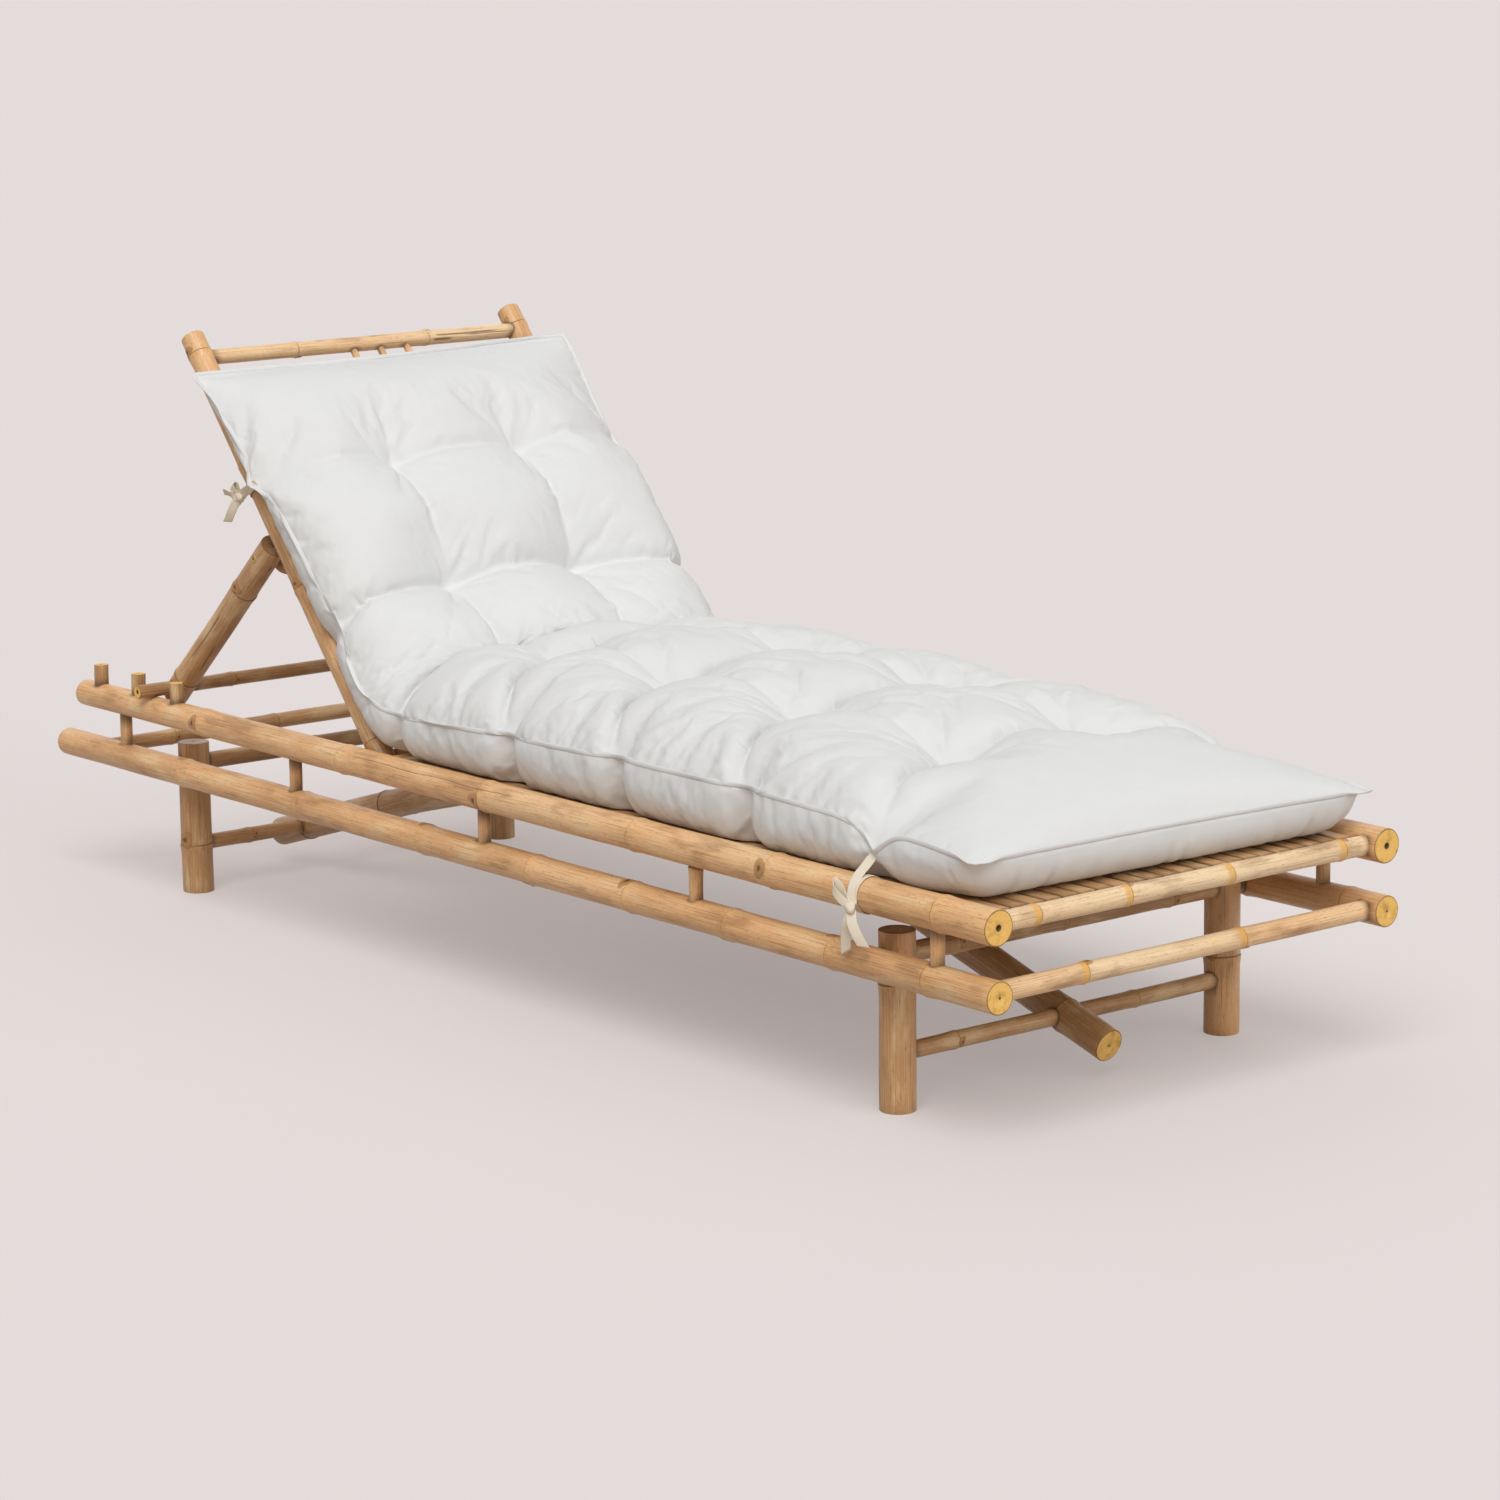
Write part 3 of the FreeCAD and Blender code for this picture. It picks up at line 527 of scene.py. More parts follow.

# %% [markdown]
# ## From arrays to objects
#
# Blender keeps per-vertex data in named attributes, and a material can read them. The grain attribute holds
# each vertex's place in its own pole, so that fibres run along every pole however it lies. The marks hold
# the scar, the node band, the bud, and the dirt and painted contact shade where two poles meet.

# %% Make a piece from arrays
ATTRIBUTES = {
    "grain": ("FLOAT_VECTOR", "vector"),
    "marks": ("FLOAT_COLOR", "color"),
    "tone": ("FLOAT", "value"),
}


def piece(name, parts, body, materials):
    """Joins parts into one mesh object that rides on a body and takes its finish from a material slot."""
    faces = []
    first = 0
    for part in parts:
        faces += (part["quads"] + first).tolist()
        faces += [(cap + first).tolist() for cap in part["caps"]]
        first += len(part["points"])
    keys = [key for key in parts[0] if key not in ("quads", "caps")]
    joined = {key: np.concatenate([part[key] for part in parts]) for key in keys}
    mesh = bpy.data.meshes.new(name)
    mesh.from_pydata(joined["points"].tolist(), [], faces)
    for key, (kind, field) in ATTRIBUTES.items():
        if key in joined:
            values = joined[key].astype(np.float32).ravel()
            mesh.attributes.new(key, kind, "POINT").data.foreach_set(field, values)
    if "material" in joined:
        mesh.polygons.foreach_set("material_index", joined["material"].astype(np.int32))
    mesh.polygons.foreach_set("use_smooth", np.ones(len(mesh.polygons), bool))
    for material in materials:
        mesh.materials.append(material)
    made = bpy.data.objects.new(name, mesh)
    bpy.context.scene.collection.objects.link(made)
    if body:
        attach(made, body)
    return made


node_body = {node: body for body, nodes in frame["record"]["behaviour"]["bodies"].items() for node in nodes}
print("bodies of", len(node_body), "nodes")

# %% [markdown]
# ## Colours and nodes
#
# Colours are written as the hex values of a colour picker. Shaders work with linear light, so one function
# turns hex into linear values. Another adds a node to a material. A third lays paints over a colour one
# after another, because both finishes of the bamboo are built up that way, as stains and marks are on the
# real one.

# %% Colour and node helpers
COLOUR = {"data_type": "RGBA"}
FACTOR, COLOUR_A, COLOUR_B, COLOUR_OUT = 0, 6, 7, 2


def linear(colour):
    """Linear red, green, blue and alpha of an sRGB hex colour: each channel is divided by 12.92 up to
    0.04045, and above that 0.055 is added, the sum divided by 1.055 and raised to the power 2.4."""
    channel = np.array([int(colour[start:start + 2], 16) for start in (1, 3, 5)]) / 255
    light = np.where(channel <= 0.04045, channel / 12.92, ((channel + 0.055) / 1.055) ** 2.4)
    return (*light.tolist(), 1.0)


def new_material(name):
    """A material with an empty node tree."""
    made = bpy.data.materials.new(name)
    made.use_nodes = True
    made.node_tree.nodes.clear()
    return made, made.node_tree


def add(tree, kind, settings=None, inputs=None):
    """Adds a node with its settings and gives its outputs. Each input is linked to a socket or set to a
    value."""
    made = tree.nodes.new("ShaderNode" + kind)
    for name, value in (settings or {}).items():
        setattr(made, name, value)
    for name, value in (inputs or {}).items():
        if isinstance(value, bpy.types.NodeSocket):
            tree.links.new(value, made.inputs[name])
        else:
            made.inputs[name].default_value = value
    return made.outputs


def paint_over(tree, colour, layers):
    """Mixes paints into a colour in turn, each up to its strength as its pattern goes from a low to a high
    value."""
    for pattern, low, high, strength, paint in layers:
        span = {"Value": pattern, "From Min": low, "From Max": high, "To Max": strength}
        share = add(tree, "MapRange", {"interpolation_type": "SMOOTHSTEP"}, span)[0]
        colour = add(tree, "Mix", COLOUR, {FACTOR: share, COLOUR_A: colour, COLOUR_B: paint})[COLOUR_OUT]
    return colour


print("middle grey is", round(linear("#808080")[0], 3), "in linear light")

# %% [markdown]
# ## The skin of the culm
#
# Bamboo skin is a hard, waxy rind over parallel fibres. After heating and sanding it is satin, tan, and
# streaked along the pole. Weathered poles are browner and carry short dark flecks. The thin scar of each
# ring is dark, the band beside it yellow, and buds leave brown ovals. All patterns are stretched along the
# grain attribute.

# %% Bamboo skin
STRAW = linear("#f3dcb6")
TAN = linear("#ebb67e")
BROWN = linear("#a37a50")
PALE_PATCH = linear("#f0d3a2")
FIBRE_DARK = linear("#8f6236")
RING_GOLD = linear("#e2a848")
BUD_BROWN = linear("#bb8546")
SCAR_BROWN = linear("#54351a")
# Dark brown for dirt and for painted shade where poles meet, in pith holes and over the slats.
DIRT_AND_SHADE_BROWN = linear("#33200f")
FIBRE_MM = (1.2, 80.0)
BLOTCH_MM = (24.0, 75.0)
SPECKLE_MM = (2.0, 7.0)
CRACK_MM = (1.5, 15.0)


def bamboo_skin(name):
    """Satin rind: the tone from straw over tan to brown, then paints for blotches, fibres, specks, cracks,
    gold bands, scars, buds, and dirt with painted shade."""
    # Sanded rind with its wax left in: a satin gloss, duller in the blotches, over a fine relief of fibres.
    # Fibre bundles are about 0.4 mm wide. They are drawn three times as coarse so that they show.
    material, tree = new_material(name)
    grain = add(tree, "Attribute", {"attribute_name": "grain"})["Vector"]
    tone = add(tree, "Attribute", {"attribute_name": "tone"})["Fac"]
    marks = add(tree, "Attribute", {"attribute_name": "marks"})
    mark = add(tree, "SeparateColor", inputs={"Color": marks["Color"]})
    patterns = []
    for width, length in (FIBRE_MM, BLOTCH_MM, SPECKLE_MM, CRACK_MM):
        scale = (1 / (width * MM), 1 / (width * MM), 1 / (length * MM))
        stretched = add(tree, "Mapping", inputs={"Vector": grain, "Scale": scale})["Vector"]
        noise = add(tree, "TexNoise", inputs={"Vector": stretched, "Scale": 1.0, "Detail": 3.0})
        patterns.append(noise["Fac"])
    fibre, blotch, speckle, crack = patterns
    to_tan = add(tree, "MapRange", inputs={"Value": tone, "From Max": 0.5})[0]
    to_brown = add(tree, "MapRange", inputs={"Value": tone, "From Min": 0.5})[0]
    pale = add(tree, "Mix", COLOUR, {FACTOR: to_tan, COLOUR_A: STRAW, COLOUR_B: TAN})[COLOUR_OUT]
    plain = add(tree, "Mix", COLOUR, {FACTOR: to_brown, COLOUR_A: pale, COLOUR_B: BROWN})[COLOUR_OUT]
    colour = paint_over(tree, plain, (
        (blotch, 0.50, 0.30, 0.55, PALE_PATCH),
        (blotch, 0.52, 0.72, 0.50, FIBRE_DARK),
        (fibre, 0.50, 0.70, 0.50, FIBRE_DARK),
        (fibre, 0.48, 0.32, 0.30, PALE_PATCH),
        (speckle, 0.56, 0.72, 0.35, FIBRE_DARK),
        (crack, 0.69, 0.75, 0.60, SCAR_BROWN),
        (mark["Green"], 0.10, 0.80, 0.75, RING_GOLD),
        (mark["Red"], 0.20, 0.90, 0.70, SCAR_BROWN),
        (mark["Blue"], 0.04, 0.20, 0.45, SCAR_BROWN),
        (mark["Blue"], 0.14, 0.36, 0.75, BUD_BROWN),
        (mark["Blue"], 0.62, 0.85, 0.85, SCAR_BROWN),
        # Dirt, and painted shade at joints, in pith holes and over the slats, from the marks' alpha.
        (marks["Alpha"], 0.0, 1.0, 0.68, DIRT_AND_SHADE_BROWN),
    ))
    rough = add(tree, "MapRange", inputs={"Value": blotch, "To Min": 0.34, "To Max": 0.56})[0]
    bump = add(tree, "Bump", inputs={"Height": fibre, "Strength": 0.35, "Distance": 0.4 * MM})["Normal"]
    rind = {"Base Color": colour, "Roughness": rough, "Normal": bump, "IOR": 1.5}
    wax = {"Coat Weight": 0.10, "Coat Roughness": 0.35}
    shader = add(tree, "BsdfPrincipled", inputs={**rind, **wax})["BSDF"]
    add(tree, "OutputMaterial", inputs={"Surface": shader})
    return material


bamboo_rind = bamboo_skin("bamboo rind, sanded")
print(bamboo_rind.name, len(bamboo_rind.node_tree.nodes), "nodes")

# %% [markdown]
# ## The cut ends
#
# A sawn end shows the bundles of fibres as fine dark dots in a golden ground, packed closer towards the
# rind, and a hole in the middle, whose shade is painted in dark. The dots are a cell pattern across the
# grain, drawn larger than life so that they show.

# %% Bamboo end grain
GOLD = linear("#f8c76f")
GOLD_DARK = linear("#b07a30")
BUNDLE_MM = 1.3
STAIN_MM = 11.0


def bamboo_end(name):
    """Sawn end of a culm: dots of fibre bundles, stains, darker at the rim, and painted shade inside the
    pith hole.
    """
    # Open end grain, left as the saw cut it: dull, without the rind's wax, and rough from bundle to bundle.
    material, tree = new_material(name)
    grain = add(tree, "Attribute", {"attribute_name": "grain"})["Vector"]
    dirt_and_shade = add(tree, "Attribute", {"attribute_name": "marks"})["Alpha"]
    across = add(tree, "VectorMath", {"operation": "MULTIPLY"}, {0: grain, 1: (1, 1, 0)})["Vector"]
    bundles = add(tree, "TexVoronoi", inputs={"Vector": across, "Scale": 1 / (BUNDLE_MM * MM)})["Distance"]
    stains = {"Vector": grain, "Scale": 1 / (STAIN_MM * MM), "Detail": 4.0}
    stain = add(tree, "TexNoise", inputs=stains)["Fac"]
    colour = paint_over(tree, GOLD, (
        (stain, 0.48, 0.75, 0.55, GOLD_DARK),
        (bundles, 0.45, 0.10, 0.45, GOLD_DARK),
        # Painted shade inside the pith hole, a darker rim, and dirt with painted shade where poles meet.
        (dirt_and_shade, 0.10, 1.0, 0.88, DIRT_AND_SHADE_BROWN),
    ))
    bump = add(tree, "Bump", inputs={"Height": bundles, "Strength": 0.3, "Distance": 0.3 * MM})["Normal"]
    sawn = {"Base Color": colour, "Normal": bump, "Roughness": 0.75, "IOR": 1.45}
    shader = add(tree, "BsdfPrincipled", inputs=sawn)["BSDF"]
    add(tree, "OutputMaterial", inputs={"Surface": shader})
    return material


bamboo_cut = bamboo_end("bamboo end grain, sawn")
print(bamboo_cut.name, len(bamboo_cut.node_tree.nodes), "nodes")

# %% [markdown]
# ## All the poles
#
# With a shape and two finishes at hand, every pole of the frame is grown in one loop. Each node has its own
# seed, so that a pole keeps its looks when another one changes. The culm takes the place of the
# construction's round bar.

# %% Grow every culm
POLE_SEED = 11

for number, node in enumerate(dict.fromkeys(pole["node"] for pole in poles)):
    draw = np.random.default_rng(POLE_SEED + number)
    parts = [culm_arrays(pole, poles, draw) for pole in poles if pole["node"] == node]
    grown = piece(f"{node}_culm", parts, node_body[node], (bamboo_rind, bamboo_cut))
    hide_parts(node)
print("culms for", number + 1, "nodes")

# %% [markdown]
# ## The peg heads of the prop
#
# The prop turns on a rail whose thinned ends come through the two prop legs. Each end shows on the leg's
# outer side as a small pale disc with a dark pith. It is a very short culm, so the same function makes it,
# without neighbours that would add dirt and painted contact shade to it.

# %% Show the peg heads
PEG_HEAD_RADIUS = 4.8 * MM
PEG_HEAD_PROUD = 1.8 * MM
PEG_HEAD_ROOT = 9 * MM
PEG_HEAD_LOOKS = {**USUAL_LOOKS, "tone": 0.12, "rings": (), "pith_mm": 1.9, "radii": [PEG_HEAD_RADIUS] * 2}

pivot_low, pivot_high = (np.array(corner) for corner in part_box("prop_pivot_rail"))
pivot = (pivot_low + pivot_high) / 2
for number, (side, sign) in enumerate(SIDES.items()):
    leg = next(pole for pole in poles if pole["node"] == f"prop_leg_{side}")
    face = leg["start"][0] + sign * max(leg["radii"])
    start = np.array((face - sign * PEG_HEAD_ROOT, pivot[1], pivot[2]))
    end = np.array((face + sign * PEG_HEAD_PROUD, pivot[1], pivot[2]))
    draw = np.random.default_rng(POLE_SEED + number)
    head = culm_arrays({**PEG_HEAD_LOOKS, "start": start, "end": end}, (), draw)
    piece(f"prop_peg_head_{side}", [head], node_body[leg["node"]], (bamboo_rind, bamboo_cut))
print("peg heads", PEG_HEAD_RADIUS * 2 / MM, "mm across")

# %% [markdown]
# ## The hidden pins
#
# The pins that lock the braces and the hangers are almost wholly inside other pieces, so their construction
# shapes stay. They are split from the same bamboo, so they get a plain bamboo that reads Object
# coordinates.

# %% Finish the hidden pins
PIN_STREAK_MM = 2.0

# Whittled bamboo without its rind: dull, with the knife's streaks light and dark across it.
pin_bamboo, tree = new_material("bamboo pin, whittled")
where = add(tree, "TexCoord")["Object"]
streaks = {"Vector": where, "Scale": 1 / (PIN_STREAK_MM * MM), "Detail": 3.0}
streak = add(tree, "TexNoise", inputs=streaks)["Fac"]
colour = add(tree, "Mix", COLOUR, {FACTOR: streak, COLOUR_A: BROWN, COLOUR_B: FIBRE_DARK})[COLOUR_OUT]
shader = add(tree, "BsdfPrincipled", inputs={"Base Color": colour, "Roughness": 0.6})["BSDF"]
add(tree, "OutputMaterial", inputs={"Surface": shader})
for node in ("brace_pins", "hanger_pins"):
    mesh = frame["nodes"][node].data
    mesh.materials.clear()
    mesh.materials.append(pin_bamboo)
print("finished the pins with", pin_bamboo.name)

# %% [markdown]
# ## The slats
#
# The bed's strips are split from thick culms, so each is a shallow arch in section with its inner side
# below, and crosses the old nodes as low ridges. A block with a bump would look the same from afar, but the
# strips' rounded edges catch the light. So a profile carried along a straight path makes one strip, with a
# little unevenness from one to the next.

# %% Split one slat
SLAT_ROW_STEP = 16 * MM
SLAT_NODE_SPACING = 260 * MM
SLAT_NODE_ROWS = np.array((-4, -2.5, -1.2, 0, 1.2, 2.5, 4)) * MM
SLAT_RIDGE_RISE = 0.7 * MM
SLAT_RIDGE_REACH = 3.0 * MM
SLAT_SCAR_REACH = 1.2 * MM
SLAT_UNEVEN = 0.35 * MM
SLAT_EDGE_ROUND = 0.16
SLAT_ARCH = 0.08
SLAT_WAIST = 0.012
SLAT_WAVE = 90 * MM
SLAT_POINTS = 20
# A brown tone made deeper as painted shade under the cushion, and every strip darkened a little all over and
# more at its edges, as painted shade from the cushion and the gaps between strips.
SLAT_TONE_WITH_SHADE = 0.98
SLAT_PAINTED_SHADE = (0.16, 0.5)


def slat_arrays(points, axes, draw):
    """One strip from the corners of its box, in axes across, along and up. The profile is a rounded box:
    the width follows the cosine of an angle and the height its sine, each to a small power, and the top
    adds a shallow arch. It runs along the strip, wavers a little in width, and rises in a bell-shaped ridge
    at each node."""
    placed = points @ axes.T
    size = placed.max(0) - placed.min(0)
    middle = (placed.max(0) + placed.min(0)) / 2
    length = size[1]
    nodes = draw.uniform(0.1, 0.9) * SLAT_NODE_SPACING + np.arange(6) * SLAT_NODE_SPACING
    steps = np.linspace(0, length, int(length / SLAT_ROW_STEP))
    rows = np.concatenate((steps, np.add.outer(nodes, SLAT_NODE_ROWS).ravel()))
    rows = np.unique(np.round(rows[(rows >= 0) & (rows <= length)], 5))[:, None]
    ridge = sum(bell(rows - node, SLAT_RIDGE_REACH) for node in nodes)
    scar = sum(bell(rows - node - 2 * MM, SLAT_SCAR_REACH) for node in nodes)
    turn = np.linspace(0, 2 * math.pi, SLAT_POINTS, endpoint=False)[::-1]
    wide, high = (np.sign(wave) * abs(wave) ** SLAT_EDGE_ROUND for wave in (np.cos(turn), np.sin(turn)))
    drop = draw.uniform(0, 2) * SLAT_UNEVEN
    x = wide * size[0] / 2 * (1 - SLAT_WAIST * np.sin(rows / SLAT_WAVE + draw.uniform(0, 6)))
    z = high * size[2] / 2 - wide ** 2 * size[2] * SLAT_ARCH * (high > 0) - drop
    z = z + SLAT_RIDGE_RISE * (ridge - 1) * (high > 0.5)
    x, y, z = np.broadcast_arrays(x, rows - length / 2, z)
    # Painted shade: a little over the whole strip, and more towards its edges, beside the gaps.
    edge = SLAT_PAINTED_SHADE[0] + np.clip(abs(wide) ** 6 * SLAT_PAINTED_SHADE[1], 0, 1)
    grain = np.stack((x, z, y + draw.uniform(0, 9)), -1)
    marks = np.stack(np.broadcast_arrays(0.6 * scar, 0.5 * scar, 0, edge + 0 * x), -1)
    return {
        **tube_faces(*x.shape), "points": ((np.stack((x, y, z), -1) + middle) @ axes).reshape(-1, 3),
        "grain": grain.reshape(-1, 3), "marks": marks.reshape(-1, 4),
        "tone": np.full(x.size, SLAT_TONE_WITH_SHADE + draw.uniform(-0.25, 0.10)),
    }


print("slat profile of", SLAT_POINTS, "points")

# %% [markdown]
# The seat's strips lie level. The backrest's strips lean with its stiles, so their axes come from a stile:
# along it, and at right angles to it out of the back. The same two directions serve the cushion and the
# ties later.

# %% Lay the slats
UP = np.array((0.0, 0.0, 1.0))
TO_HEAD = np.array((0.0, 1.0, 0.0))
stile_start, stile_end = pole_axis(node_points("stile_right"), RISES_TO_HEAD)[:2]
back_along = unit_rows(stile_end - stile_start)
back_out = np.array((0.0, -back_along[2], back_along[1]))

for node, along, up in (("seat_slats", TO_HEAD, UP), ("back_slats", back_along, back_out)):
    axes = np.stack((np.cross(along, up), along, up))
    draw = np.random.default_rng(POLE_SEED)
    strips = [slat_arrays(points, axes, draw) for points in solids_along(node, 0)]
    row = piece(f"{node}_strips", strips, node_body[node], (bamboo_rind,))
    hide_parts(node)
    print(node, len(strips), "strips")

# %% [markdown]
# ## The line the cushion lies on
#
# One long cushion lies on the seat and bends up the backrest. It could be two blocks, but the real one is a
# single bag, so all its cloth is measured along one line: up the seat, round a soft bend at the hinge, and
# up the back. Integrating the slope along that line gives the bend, and every point of the bag is a
# distance along the line, a distance across, and a height above it. These are in millimetres until the mesh
# is made.

# %% Lay the sole line
BEND_REACH = 110.0
HEAD_TRIM = 5.0
SOLE_STEPS = 6000

hinge = np.array(frame["record"]["behaviour"]["joints"][0]["pos_m"])
seat_low, seat_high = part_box("seat_cushion")
back_points = node_points("back_cushion") - hinge
HALF_WIDTH = seat_high.x / MM
FOOT_Y = seat_low.y / MM
SOLE_Z = seat_low.z / MM
SOLE_OUT = (back_points @ back_out).min() / MM
TOP_ALONG = (back_points @ back_along).max() / MM - HEAD_TRIM
LEAN = math.atan2(back_along[2], back_along[1])
corner = hinge[1:] / MM + SOLE_OUT * back_out[1:]
corner = corner + back_along[1:] * (SOLE_Z - corner[1]) / back_along[2]
CORNER_ALONG = float((corner - hinge[1:] / MM) @ back_along[1:])
BEND = corner[0] - FOOT_Y
SOLE_LENGTH = BEND + TOP_ALONG - CORNER_ALONG


def sole_line(place):
    """Y, Z and slope of the sole at each place: the running sums of cosine and sine of the slope, which
    eases from level to the backrest's lean over the bend. The line is shifted so that its end lies on the
    backrest."""
    fine = np.linspace(0, SOLE_LENGTH, SOLE_STEPS)
    slope = LEAN * smoothstep((fine - BEND + BEND_REACH) / (2 * BEND_REACH))
    between = slope[:-1] + np.diff(slope) / 2
    y = FOOT_Y + np.concatenate(([0], np.cumsum(np.cos(between)) * fine[1]))
    z = SOLE_Z + np.concatenate(([0], np.cumsum(np.sin(between)) * fine[1]))
    off = (np.array((y[-1], z[-1])) - corner) @ back_out[1:]
    y = y + off / math.sin(LEAN)
    return np.interp(place, fine, y), np.interp(place, fine, z), np.interp(place, fine, slope)


print("sole", round(SOLE_LENGTH), "mm, bend at", round(BEND), "mm")

# %% [markdown]
# ## The seam of the bag
#
# The bag is two sheets of cotton sewn together all round. The seam runs about halfway up the bag's side,
# and comes down at the head, where the bag is thin. Four tapes are sewn to it, and each pulls it down
# towards its pole.

# %% Height of the seam
SEAM_PLACES = (0, 80, 1080, 1300, 1600, 1740, 1817)
SEAM_HEIGHTS = (50, 56, 58, 50, 44, 22, 9)
FAR_CORNER_LIFT = 15.0
FAR_CORNER_REACH = 150.0
TIE_PLACES = (-774 - FOOT_Y, BEND + 414 - CORNER_ALONG)
TIE_PULLS = (28.0, 20.0)
FAR_TIE_PULLS = (28.0, 11.0)
TIE_REACH = 24.0


def eased(place, places, heights):
    """A smooth curve through given heights: cubic pieces whose slopes are the mean slopes of the
    neighbours."""
    places, heights = np.array(places, float), np.array(heights, float)
    slopes = np.gradient(heights, places)
    left = np.clip(np.searchsorted(places, place) - 1, 0, len(places) - 2)
    step = places[left + 1] - places[left]
    share = np.clip((place - places[left]) / step, 0, 1)
    rest = 1 - share
    ends = heights[left] * (1 + 2 * share) * rest ** 2 + heights[left + 1] * share * share * (3 - 2 * share)
    return ends + step * (slopes[left] * share * rest ** 2 - slopes[left + 1] * share * share * rest)


def seam_height(place, share):
    """Height of the seam above the sole: a curve along the bag, lifted towards the far corner of the head
    end, and pulled down by a bell curve at each tie."""
    near_head = smoothstep((place - SOLE_LENGTH + FAR_CORNER_REACH) / FAR_CORNER_REACH)
    height = eased(place, SEAM_PLACES, SEAM_HEIGHTS)
    height = height + FAR_CORNER_LIFT * near_head * smoothstep(share / 1.2 + 0.1)
    for tie, near, far in zip(TIE_PLACES, TIE_PULLS, FAR_TIE_PULLS):
        pull = np.where(share > 0, far, near)
        height = height - pull * bell(place - tie, TIE_REACH) * abs(share) ** 8
    return height


print("seam at", SEAM_HEIGHTS[2], "mm along the seat, ties at", np.round(TIE_PLACES).tolist())

# %% [markdown]
# ## The bag before filling
#
# Rows of stitches pull the upper sheet down in two columns of pits, and the fill swells between them. A
# simulation finds its own way from a flat bag only slowly, so it starts from a shape that is already close:
# a crown over the seam, and valleys from pit to pit and on to the seam. The valleys run a little towards
# the foot on their way out.

# %% Heights of the upper sheet
TUFT_X = 105.0
SEAT_TUFT_Y = (-685, -421, -168, 66)
BACK_TUFT_ALONG = (196, 396)
TUFT_HEIGHTS = (80, 88, 97, 102, 92, 55, 62)
TUFT_REACH = 40.0
VALLEY_SHIFTS = (-85, -105, -112, -120, -60, -30, 8)
VALLEY_DEPTHS = (25, 29, 30, 30, 27, 24, 22)
VALLEY_AT_SIDES = (0.9, 0.9, 0.9, 0.9, 0.8, 0.45, 0.3)
VALLEY_REACH = 21.0
CROWN_PLACES = (0, 130, 300, 570, 820, 1060, 1218, 1330, 1520, 1700, 1817)
CROWN_HEIGHTS = (84, 102, 119, 131, 139, 136, 121, 107, 102, 84, 50)
FOOT_SLOPE = 240.0
HEAD_SLOPE = 170.0
COLUMN_DIP = 14.0
COLUMN_REACH = 26.0
COLUMN_FADE = 25.0

seat_rows = [y - FOOT_Y for y in SEAT_TUFT_Y]
back_rows = [BEND + along - CORNER_ALONG for along in BACK_TUFT_ALONG]
tuft_rows = np.array(seat_rows + [BEND] + back_rows)
pits = [(row, x) for row in tuft_rows for x in (-TUFT_X, TUFT_X)]


def cross_crown(share):
    """Height across the bag, 1 in the middle and 0 at the seam: a rounded arch that stands steep at the
    seam."""
    return np.maximum(1 - abs(share) ** 2.6, 0) ** 0.62


def valley_lines(across):
    """The place of each row's valley: its pits' row plus a parabola across, so that it bows towards the
    head in the middle and reaches the seam shifted towards the foot."""
    bow = (across ** 2 - TUFT_X ** 2) / (HALF_WIDTH ** 2 - TUFT_X ** 2)
    return [row + shift * bow for row, shift in zip(tuft_rows, VALLEY_SHIFTS)]


def valley_fade(across, share, at_side):
    """How deep a valley is across the bag: full between its pits, less towards the side, and nothing at the
    seam."""
    outside = smoothstep((abs(across) - TUFT_X) / (HALF_WIDTH - TUFT_X))
    return (1 + (at_side - 1) * outside) * cross_crown(share) ** 0.35


def top_height(place, across, width):
    """Height of the upper sheet: seam plus crown, less valleys along the rows and columns of tufts that
    fall off with distance as an exponential, less a cone at each tuft that brings it to its own depth."""
    share = across / width
    foot = np.sin(math.pi / 2 * np.minimum(place / FOOT_SLOPE, 1))
    head = 1 - (1 - np.minimum((SOLE_LENGTH - place) / HEAD_SLOPE, 1)) ** 2
    ends = foot * head ** 0.75
    seam = seam_height(place, share)
    height = seam + (eased(place, CROWN_PLACES, CROWN_HEIGHTS) - seam) * ends * cross_crown(share)
    for line, depth, at_side in zip(valley_lines(across), VALLEY_DEPTHS, VALLEY_AT_SIDES):
        fade = valley_fade(across, share, at_side)
        height = height - depth * fade * np.exp(-abs(place - line) / VALLEY_REACH) * ends
    sewn = smoothstep((place - tuft_rows[0] + COLUMN_FADE) / COLUMN_FADE)
    sewn = sewn * smoothstep((tuft_rows[-1] + COLUMN_FADE - place) / COLUMN_FADE)
    columns = sum(np.exp(-abs(across - x) / COLUMN_REACH) for x in (-TUFT_X, TUFT_X))
    height = height - COLUMN_DIP * columns * sewn
    for (row, x), depth in zip(pits, np.repeat(TUFT_HEIGHTS, 2)):
        away = np.hypot(place - row, across - x)
        height = height - (height.flat[away.argmin()] - depth) * np.exp(-away / TUFT_REACH)
    return height


print(len(pits), "pits in rows at", np.round(tuft_rows).tolist())

# %% [markdown]
# Both sheets get a grid with the same numbers of rows and columns, so that they share the points of the
# seam. Cloth needs cells of even size, so the columns stand closer where a sheet is steep, and the rows at
# both ends too. Where a valley meets the seam, it draws the seam in.

# %% Spread the grid
CLOTH_STEP = 5.6
COLUMNS = 139
END_ROWS = 13
END_REACH = 60.0
END_RISE = 40.0
SIDE_RISE = 70.0
SEAM_RISE = 56.0
SIDE_ROLL = 27.0
CORNER_SPREAD = 90.0
NOTCH_DRAWS = (5, 18, 18, 18, 12, 9, 5)
NOTCH_REACH = 20.0


def even_steps(run, rise, count):
    """Values of run, spaced so that steps along the curve of run and rise are even."""
    arc = np.concatenate(([0], np.cumsum(np.hypot(np.diff(run), np.diff(rise)))))
    return np.interp(np.linspace(0, arc[-1], count), arc, run)


